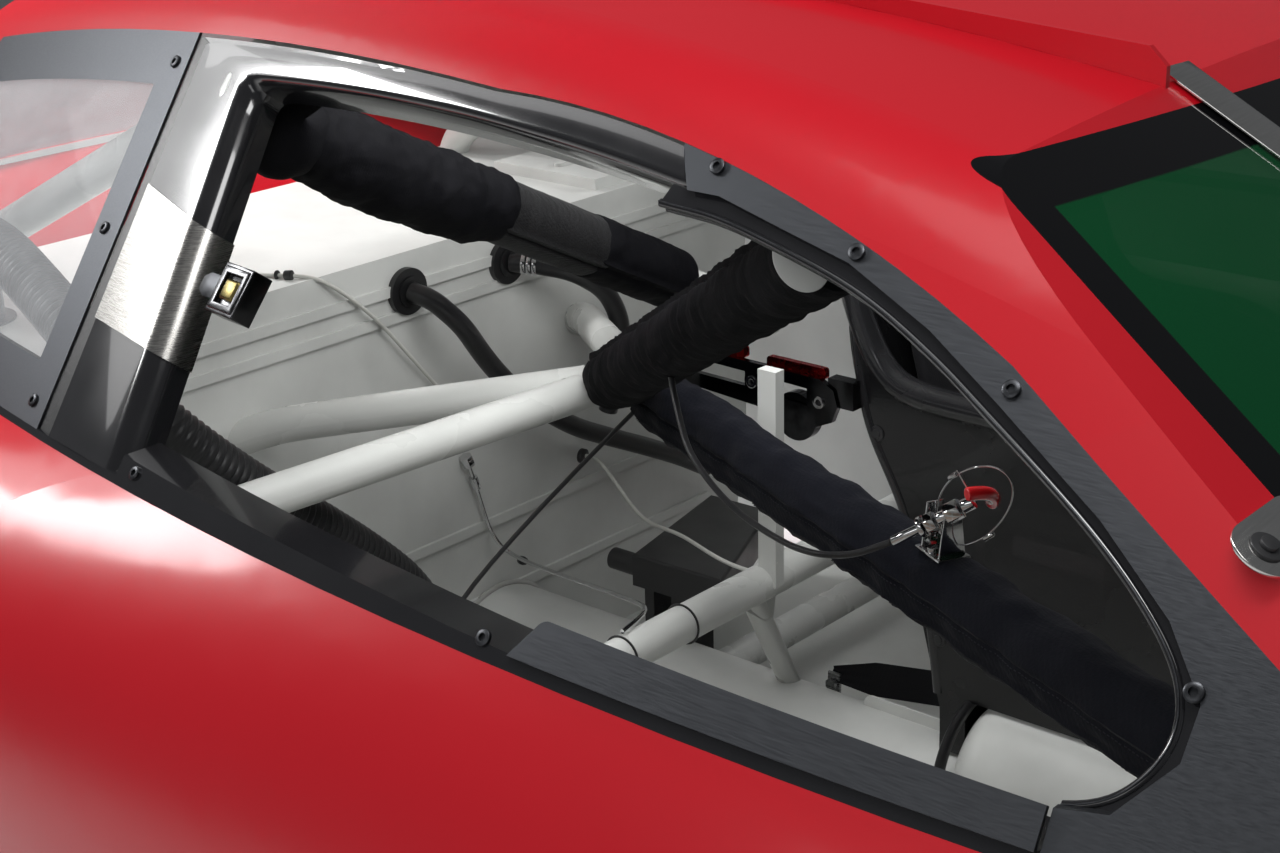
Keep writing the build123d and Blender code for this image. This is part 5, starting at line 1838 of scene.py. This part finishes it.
class Finishes(dict):
    """Every material of the car, made once and looked up by name."""

    def __init__(self) -> None:
        """Makes them all."""
        super().__init__()
        red = (0.42, 0.002, 0.009)
        even = (80.0, 80.0, 80.0)
        for recipe in (
            SatinPaint("cage_paint", (0.58, 0.59, 0.57), roughness=0.24),
            SatinPaint("tin_paint", (0.62, 0.63, 0.61), roughness=0.28, dirt=0.2),
            BodyPaint("deck_red", red, (0.40, 0.002, 0.009)),
            BodyPaint("red_paint", red, (0.60, 0.61, 0.60)),
            BrushedMetal("dark_aluminium", (0.105, 0.110, 0.120), roughness=0.42, contrast=0.12,
                         across=(40.0, 1500.0, 2500.0), turn=(0.0, 24.0, 0.0), relief=0.04),
            BrushedMetal("bright_aluminium", (0.78, 0.77, 0.74), roughness=0.16, contrast=0.12,
                         across=(500.0, 30.0, 6.0)),
            BrushedMetal("steel", (0.42, 0.42, 0.43), roughness=0.26, contrast=0.2),
            BrushedMetal("bolt", (0.085, 0.088, 0.095), roughness=0.36, across=(90.0, 90.0, 90.0)),
            BrushedMetal("chrome", (0.72, 0.72, 0.73), roughness=0.08, contrast=0.15,
                         across=(60.0, 60.0, 60.0)),
            BrushedMetal("sleeve_steel", (0.40, 0.39, 0.37), roughness=0.26, contrast=0.06,
                         across=(60.0, 60.0, 2500.0), relief=0.05),
            BrushedMetal("dark_steel", (0.09, 0.09, 0.095), roughness=0.2, across=even),
            BrushedMetal("latch_steel", (0.09, 0.09, 0.094), roughness=0.22, across=even),
            BrushedMetal("button_gold", (0.30, 0.24, 0.09), roughness=0.3, contrast=0.4, across=even),
            BrushedMetal("red_anodised", (0.62, 0.02, 0.02), roughness=0.25, contrast=0.25, across=even),
            Gloss("black_gloss", (0.008, 0.008, 0.009), roughness=0.07),
            Gloss("trim_gloss", (0.007, 0.007, 0.008), roughness=0.13, coat=0.8),
            Gloss("white_hose", (0.50, 0.50, 0.47), roughness=0.35, coat=0.1),
            Gloss("black_satin", (0.016, 0.016, 0.017), roughness=0.34, coat=0.1),
            Gloss("grip_red", (0.50, 0.008, 0.012), roughness=0.12, coat=0.8),
            Gloss("seat_black", (0.004, 0.004, 0.0045), roughness=0.2, coat=0.2, grain=0.15),
            Cloth("pad_cloth", (0.0032, 0.0032, 0.0040), sheen=0.0),
            Cloth("denim", (0.0034, 0.0038, 0.0062), weave=700.0, depth=0.0007),
            Cloth("hook_cloth", (0.006, 0.006, 0.0065), weave=1300.0, depth=0.0018, sheen=0.05,
                  roughness=0.55),
            Cloth("thread", (0.022, 0.022, 0.026), weave=2500.0, sheen=0.0),
            Cloth("seat_cloth", (0.010, 0.010, 0.011)),
            Cloth("webbing", (0.009, 0.009, 0.010), weave=1500.0, sheen=0.1),
            Sealer("black_rubber", (0.014, 0.014, 0.015), roughness=0.34),
            Sealer("hose_rubber", (0.016, 0.016, 0.017), roughness=0.38),
            Sealer("sealer", (0.50, 0.50, 0.48)),
            SatinPaint("floor_paint", (0.60, 0.60, 0.60), roughness=0.7, dirt=0.03),
            Gloss("vinyl", (0.009, 0.009, 0.010), roughness=0.2, coat=0.7, grain=0.1),
            Sealer("foam", (0.60, 0.46, 0.38), roughness=0.85, grain=500.0, depth=0.001),
            Screen("tinted_glass", (0.001, 0.048, 0.014)),
            ClearPane("clear_glass", (0.72, 0.74, 0.76), haze=0.16),
        ):
            self[recipe.name] = recipe.make()
        log.info("finishes: %d", len(self))


@dataclass
class Cushion:
    """Upholstered pad with stitched channels, its face along z."""

    name: str
    place: Matrix
    width: float
    height: float
    thickness: float
    channels: int = 4
    puff: float = 0.010
    cuts: int = 28

    def build(self) -> bpy.types.Object:
        """Models the pad.

        Returns:
            The pad.
        """
        pad = Bench.block(self.name, (self.width, self.height, self.thickness))
        with Edit(pad) as edit:
            edit.all()
            edit.cut(self.cuts)
        with Edit(pad) as edit:

            def shift(point: Vector) -> Vector:
                """New place of a point of the cushion."""
                u, v = point.x / self.width * 2, point.y / self.height * 2
                crown = (1.0 - abs(u) ** 4) * (1.0 - abs(v) ** 6)
                lane = abs(math.sin((u * 0.5 + 0.5) * self.channels * math.pi)) ** 0.5
                top = point.z / self.thickness + 0.5
                rise = self.puff * crown * (lane - 0.35) + 0.0012 * ripple(point, 30.0)
                inset = 1.0 - 0.10 * abs(point.z / self.thickness * 2) ** 3
                return Vector((point.x * inset, point.y * inset, point.z + top * rise))

            edit.move(shift)
        return Bench.settle(pad, self.place)


@dataclass
class SeatTrim(Fitting):
    """Upholstery, rolled rims and snaps of the driver's seat."""

    middle: float = 0.370
    half: float = 0.268
    head: float = 0.120
    cushion_width: float = 0.44
    cushion_depth: float = 0.030
    rim: tuple[SidePoint, ...] = (
        (0.168, 0.800), (0.176, 0.740), (0.186, 0.672), (0.205, 0.622), (0.242, 0.565), (0.268, 0.490),
        (0.288, 0.425), (0.300, 0.330),
    )
    rim_radius: float = 0.0075
    shoulder: tuple[SidePoint, ...] = (
        (0.168, 0.806), (0.184, 0.760), (0.212, 0.706), (0.262, 0.690), (0.333, 0.690), (0.390, 0.690),
        (0.440, 0.675), (0.480, 0.655), (0.502, 0.630), (0.530, 0.580), (0.565, 0.528), (0.640, 0.470),
        (0.730, 0.425), (0.780, 0.360), (0.790, 0.318),
    )
    shoulder_radius: float = 0.0165
    snaps: tuple[SidePoint, ...] = ((0.208, 0.636), (0.430, 0.655), (0.300, 0.400))

    def build(self) -> None:
        """Models cushions, rims and snaps."""
        lean = Vector((0.322 - 0.178, 0.0, 0.262 - 0.800)).length
        back_place = plane_place((0.271, self.middle, 0.555), LEFT, (0.966, 0.0, 0.259))
        pan_place = plane_place((0.560, self.middle, 0.284), LEFT, (-0.105, 0.0, 0.994))
        for name, place, height, node in (
            ("seat_back_pad", back_place, lean - 0.045, ("seat_cover",)),
            ("seat_pan_pad", pan_place, 0.345, ()),
        ):
            piece = Cushion(name, place, self.cushion_width, height, self.cushion_depth).build()
            self.dress(piece, "seat_cloth", "seat_cloth", *node, angle=70.0)
        pads = []
        for side in (-1, 1):
            middle = (0.247, self.middle + side * (self.head - 0.018), 0.918)
            place = plane_place(middle, FORWARD, (0.0, -side, 0.0))
            pad = Cushion("head_pad", place, 0.118, 0.098, 0.020, channels=1, puff=0.006, cuts=12)
            pads.append(pad.build())
        heads = Bench.join("head_support_pads", pads)
        self.dress(heads, "seat_cloth", "seat_cloth", angle=70.0)
        rolls = []
        for side in (-1, 1):
            y = self.middle + side * self.half
            for path, radius in ((self.rim, self.rim_radius), (self.shoulder, self.shoulder_radius)):
                rolls.append(Bench.line("roll", [(x, y, z) for x, z in path], radius))
        self.dress(Bench.join("seat_rims", rolls), "vinyl", "seat_black", angle=60.0)
        snaps = []
        for x, z in self.snaps:
            place = plane_place((x, self.middle - self.half - 0.0045, z), FORWARD, RIGHT)
            for radius, depth in ((0.0095, 0.003), (0.0055, 0.006)):
                snaps.append(Bench.stud("snap", radius, depth, 24, 0.0008, place))
        self.dress(Bench.join("seat_snaps", snaps), "black_satin", "black_satin", angle=30.0)
        log.info("seat: cushions, rims, snaps")


@dataclass
class DoorFoam(Fitting):
    """Energy foam blocks inside the door skins, cut from stacked boards."""

    size: Point = (0.884, 0.058, 0.470)
    middle: Point = (0.590, 0.8525, 0.400)
    boards: int = 3

    def build(self) -> None:
        """Models the boards on both sides."""
        length, depth, height = self.size
        x, y, middle = self.middle
        board = Bench.soften(Bench.block("board", (length, depth, height / self.boards - 0.001)), 0.004)
        rows = []
        for row in range(self.boards):
            z = middle + (row - (self.boards - 1) / 2) * height / self.boards
            rows.append(Bench.copied(board, Matrix.Translation((x, -y, z))))
        Bench.drop(board)
        foam = Bench.both_sides(Bench.join("door_foam_boards", rows))
        self.dress(foam, "foam", "foam", "door_foam")
        log.info("door foam: %d boards a side", self.boards)


@dataclass
class LapBelt(Fitting):
    """Lap belt webbing from its floor bracket up to the seat."""

    length: float = 0.245
    width: float = 0.044
    thickness: float = 0.0022
    cuts: int = 24

    def build(self) -> None:
        """Models webbing, bracket and bolt."""
        place = plane_place((0.030, 0.262, 0.208), (1.0, -0.1, 0.22), (0.1, 0.9, -0.4))
        web = Bench.block("lap_belt_webbing", (self.length, self.width, self.thickness))
        with Edit(web) as edit:
            edit.edges(lambda a, b: True)
            edit.cut(self.cuts)
        with Edit(web) as edit:

            def shift(point: Vector) -> Vector:
                """New place of a point of the webbing."""
                along = point.x + self.length / 2
                narrow = 0.45 + 0.55 * min(1.0, along / 0.07)
                wave = 0.0011 * math.sin(along * 46.0) + 0.0012 * (1.0 - narrow) * math.cos(point.y * 420.0)
                return Vector((along, point.y * narrow, point.z + 0.0015 + wave))

            edit.move(shift)
        Bench.settle(web, place)
        self.dress(web, "webbing", "webbing", "lap_belt", angle=60.0)
        anchor = Bench.soften(Bench.block("anchor", (0.020, 0.005, 0.106)), 0.0015)
        Bench.settle(anchor, Matrix.Translation((0.034, 0.261, 0.158)))
        bolt_place = plane_place((0.034, 0.2545, 0.196), FORWARD, RIGHT)
        bolt = Bench.stud("bolt", 0.009, 0.008, 6, 0.001, bolt_place)
        self.dress(Bench.join("belt_anchor", [anchor, bolt]), "steel", "steel", angle=30.0)
        log.info("lap belt: webbing and bracket")


@dataclass
class SmallFittings(Fitting):
    """Tabs, sealer bead, ties, ferrules, bolts and edging on the structure."""


    def tunnel_plates(self) -> None:
        """Stands rounded tabs along the tunnel."""
        plates = []
        for start, end, low, high in ((0.160, 0.402, 0.236, 0.264), (0.500, 0.566, 0.240, 0.270)):
            plate = Bench.block("plate", (end - start, 0.0026, high - low))
            with Edit(plate) as edit:
                edit.edges(lambda a, b: abs(a.y - b.y) > 0.001 and a.z > 0.0)
                bpy.ops.mesh.bevel(offset=0.012, segments=8)
            middle = ((start + end) / 2, 0.150, (low + high) / 2)
            plates.append(Bench.settle(plate, Matrix.Translation(middle)))
        self.dress(Bench.join("tunnel_tabs", plates), "tin_paint", "tin_paint", angle=30.0)

    def beads(self) -> None:
        """Lays the uneven sealer bead round the tunnel's mouth."""
        steps, radius = 24, 0.117
        ring = []
        for step in range(steps + 1):
            turn = math.pi * step / steps
            reach = radius + 0.0022 * ripple(Vector((step * 0.7, 0.0, 0.0)), 1.0)
            ring.append((-0.4465, radius + reach * math.cos(turn), 0.138 + reach * math.sin(turn)))
        bead = Bench.line("sealer", ring, 0.0042, sides=3)
        self.dress(bead, "sealer", "tin_paint", angle=80.0)

    def ties(self) -> None:
        """Ties the lines to their tubes."""
        ties = []
        for centre, way, radius in (
            ((0.100, -0.236, 0.446), (0.0, 1.0, 0.0), 0.0236),
            ((0.100, -0.130, 0.446), (0.0, 1.0, 0.0), 0.0236),
            ((-0.394, 0.118, 0.307), (0.9, -0.42, 0.2), 0.0040),
        ):
            place = aimed(centre, tuple(Vector(centre) + Vector(way)))
            ties.append(Bench.settle(Bench.hoop("tie", radius, 0.0014), place))
        self.dress(Bench.join("line_ties", ties), "black_satin", "black_satin", angle=80.0)

    def ferrules(self) -> None:
        """Crimps a ribbed ferrule on the high hose and sets two fittings on the hard line."""
        start, end, count = (-0.424, 0.168, 0.7204), (-0.404, 0.180, 0.7190), 3
        gap = (Vector(end) - Vector(start)).length / count
        rings = []
        for row in range(count):
            place = aimed(start, end) @ Matrix.Translation((0.0, 0.0, gap * (row + 0.5)))
            rings.append(Bench.stud("ring", 0.0152, gap * 0.8, 28, 0.0012, place))
        for start, end, radius, length, sides in (
            ((-0.441, 0.060, 0.470), (-0.441, 0.068, 0.450), 0.0095, 0.016, 6),
            ((-0.441, 0.072, 0.436), (-0.441, 0.084, 0.403), 0.0065, 0.020, 18),
        ):
            place = aimed(start, end) @ Matrix.Translation((0.0, 0.0, length / 2))
            rings.append(Bench.stud("nut", radius, length, sides, 0.001, place))
        self.dress(Bench.join("hose_ferrules", rings), "chrome", "steel", angle=30.0)

    def brace_bolts(self) -> None:
        """Sets bolts with their black nuts on the seat brace."""
        bolts, nuts = [], []
        for x, z in ((0.041, 0.671), (0.140, 0.666)):
            place = plane_place((x, 0.0835, z), FORWARD, RIGHT)
            bolt = Bench.drum("bolt", 0.0078, 0.008, 24)
            with Edit(bolt) as edit:
                edit.faces(lambda middle, normal: normal.z > 0.9)
                edit.inset(0.0042)
                edit.pull(0.0, 0.0, -0.003)
            bolts.append(Bench.settle(Bench.soften(bolt, 0.0008), place @ Matrix.Translation((0, 0, 0.005))))
            under = place @ Matrix.Translation((0, 0, 0.002))
            nuts.append(Bench.stud("nut", 0.0135, 0.006, 24, 0.001, under))
        self.dress(Bench.join("brace_bolts", bolts), "chrome", "steel", angle=30.0)
        self.dress(Bench.join("brace_nuts", nuts), "black_satin", "black_satin", angle=30.0)

    def cover_edging(self) -> None:
        """Runs black edging round the gearbox cover's open end."""
        steps, radius = 18, 0.097
        arc = []
        for step in range(steps + 1):
            turn = math.radians(-8 + 196 * step / steps)
            arc.append((0.343, 0.130 + radius * math.cos(turn), 0.235 + radius * math.sin(turn)))
        edging = Bench.line("cover_edging", arc, 0.0068)
        self.dress(edging, "black_rubber", "black_rubber", angle=80.0)

    def build(self) -> None:
        """Models all of them."""
        self.tunnel_plates()
        self.beads()
        self.ties()
        self.ferrules()
        self.brace_bolts()
        self.cover_edging()
        log.info("small fittings: six sets")


@dataclass
class Studio:
    """Floor, lamps, world and camera."""

    focal_px: float = 2147.35
    image_w: float = 1280.0
    yaw: float = 41.18
    pitch: float = 19.95
    roll: float = -1.39
    eye: Point = (1.54, -1.842, 1.5)
    world_level: float = 0.13

    def axes(self) -> tuple[Vector, Vector, Vector]:
        """Right, up and forward of the camera.

        Returns:
            Three unit vectors.
        """
        yaw, pitch, roll = (math.radians(a) for a in (self.yaw, self.pitch, self.roll))
        right = Vector((math.cos(yaw), math.sin(yaw), 0.0))
        ahead = Vector((-math.sin(yaw) * math.cos(pitch), math.cos(yaw) * math.cos(pitch), -math.sin(pitch)))
        up = right.cross(ahead)
        turned = right * math.cos(roll) + up * math.sin(roll)
        return turned, -right * math.sin(roll) + up * math.cos(roll), ahead

    def camera(self) -> None:
        """Adds the camera at the photograph's angle."""
        right, up, ahead = self.axes()
        lens = bpy.data.cameras.new("camera")
        lens.sensor_width = 36.0
        lens.lens = self.focal_px / self.image_w * lens.sensor_width
        lens.clip_end = 60.0
        body = bpy.data.objects.new("camera", lens)
        bpy.context.collection.objects.link(body)
        turn = Matrix((right, up, -ahead)).transposed().to_4x4()
        body.matrix_world = Matrix.Translation(self.eye) @ turn
        bpy.context.scene.camera = body

    def lamp(
        self,
        name: str,
        place: Point,
        aim: Point,
        size: tuple[float, float],
        power: float,
        seen: bool = True,
    ) -> None:
        """Adds a soft box.

        Args:
            name: its name.
            place: its centre.
            aim: the point it faces.
            size: width and height.
            power: watts.
            seen: whether gloss surfaces mirror it.
        """
        light = bpy.data.lights.new(name, "AREA")
        light.shape = "RECTANGLE"
        light.size, light.size_y = size
        light.energy = power
        body = bpy.data.objects.new(name, light)
        bpy.context.collection.objects.link(body)
        body.location = place
        body.rotation_euler = (Vector(aim) - Vector(place)).to_track_quat("-Z", "Y").to_euler()
        body.visible_glossy = seen
        body.visible_camera = False

    def strip(self, name: str, low: Point, high: Point, width: float, power: float) -> None:
        """Adds a long soft box behind the car, whose right edge runs between two points.

        Args:
            name: its name.
            low: the edge's lower end.
            high: the edge's upper end.
            width: how far it reaches leftwards and up from there.
            power: watts.
        """
        along = Vector(high) - Vector(low)
        across = Vector((0.0, along.z, -along.y)).normalized()
        middle = (Vector(low) + Vector(high)) / 2 + across * width / 2
        ahead = Vector(FORWARD)
        side = along.normalized()
        self.lamp(name, tuple(middle), tuple(middle + ahead), (along.length, width), power)
        turn = Matrix((side, (-ahead).cross(side), -ahead)).transposed().to_euler()
        bpy.data.objects[name].rotation_euler = turn

    def floor(self, finishes: "Finishes") -> None:
        """Adds the pale floor.

        Args:
            finishes: all the finishes.
        """
        Bench.only()
        bpy.ops.mesh.primitive_plane_add(size=30.0, location=(0.0, 0.0, -0.001))
        slab = bpy.context.object
        slab.name = "floor"
        slab.data.materials.append(finishes["floor_paint"])

    def build(self, finishes: "Finishes") -> None:
        """Adds everything.

        Args:
            finishes: all the finishes.
        """
        scene = bpy.context.scene
        scene.view_settings.view_transform = "Standard"
        scene.world = bpy.data.worlds.new("studio")
        scene.world.use_nodes = True
        sky = scene.world.node_tree.nodes["Background"]
        sky.inputs[0].default_value = (0.80, 0.82, 0.86, 1.0)
        sky.inputs[1].default_value = self.world_level
        self.lamp("ceiling", (0.6, -0.9, 4.2), (0.4, -0.3, 0.9), (3.2, 2.0), 42.0)
        self.lamp("side", (0.2, -4.4, 2.2), (0.3, 0.0, 0.9), (3.0, 0.9), 14.0)
        self.lamp("fill", (1.6, -3.4, 3.6), (0.2, 0.0, 0.8), (3.0, 3.0), 74.0, False)
        self.strip("header_light", (-2.3, -0.80, 1.95), (-2.3, -2.35, 4.0), 0.5, 8.0)
        self.lamp("pillar_light", (-2.3, -1.10, 1.86), (-0.1, -0.80, 1.0), (0.9, 0.55), 3.2)
        self.lamp("door_light", (-2.3, -1.50, 2.24), (0.2, -0.85, 0.78), (0.75, 0.42), 26.0)
        self.lamp("left_door", (0.4, 2.2, 1.6), (0.2, -0.2, 0.6), (1.6, 0.8), 60.0, False)
        self.lamp("rear_screen", (-2.2, 0.4, 2.4), (-0.5, 0.1, 0.75), (1.4, 0.8), 150.0, False)
        self.lamp("under_roof", (0.15, -0.15, 1.12), (0.10, 0.0, 0.3), (0.7, 0.5), 7.0, False)
        self.lamp("seat_light", (0.9, -0.9, 1.9), (0.35, 0.1, 0.7), (0.5, 0.25), 4.0)
        self.camera()
        self.floor(finishes)


RED_ALL_ROUND = ("rear_deck", "roof_rails", "roof_flap_right", "roof_flap_left")
OTHER_FINISH = {"seat_brace": "dark_steel"} | dict.fromkeys(RED_ALL_ROUND, "deck_red")


def paint_nodes(frame: dict, finishes: "Finishes") -> None:
    """Gives every CAD node the finish of its slot.

    Args:
        finishes: all the finishes.
    """
    for entry in frame["record"]["subparts"]:
        node = frame["nodes"][entry["node"]]
        material = finishes[OTHER_FINISH.get(entry["node"], entry["material_slot"])]
        if node.material_slots:
            for place in node.material_slots:
                place.material = material
        else:
            node.data.materials.append(material)


def main(frame: dict) -> None:
    """Builds the scene.
    """
    finishes = Finishes()
    paint_nodes(frame, finishes)
    for fitting in (
        CagePads, AirHose, OpeningTrim, WindowTrim, ScreenFittings, CabinLines, Screws,
        NetLatch, PullHandle, SeatTrim, DoorFoam, LapBelt, SmallFittings,
    ):
        fitting(finishes).build()
    Studio().build(finishes)
    log.info("painted %d nodes", len(frame["nodes"]))


if __name__ == "__main__":
    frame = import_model()
    main(frame)
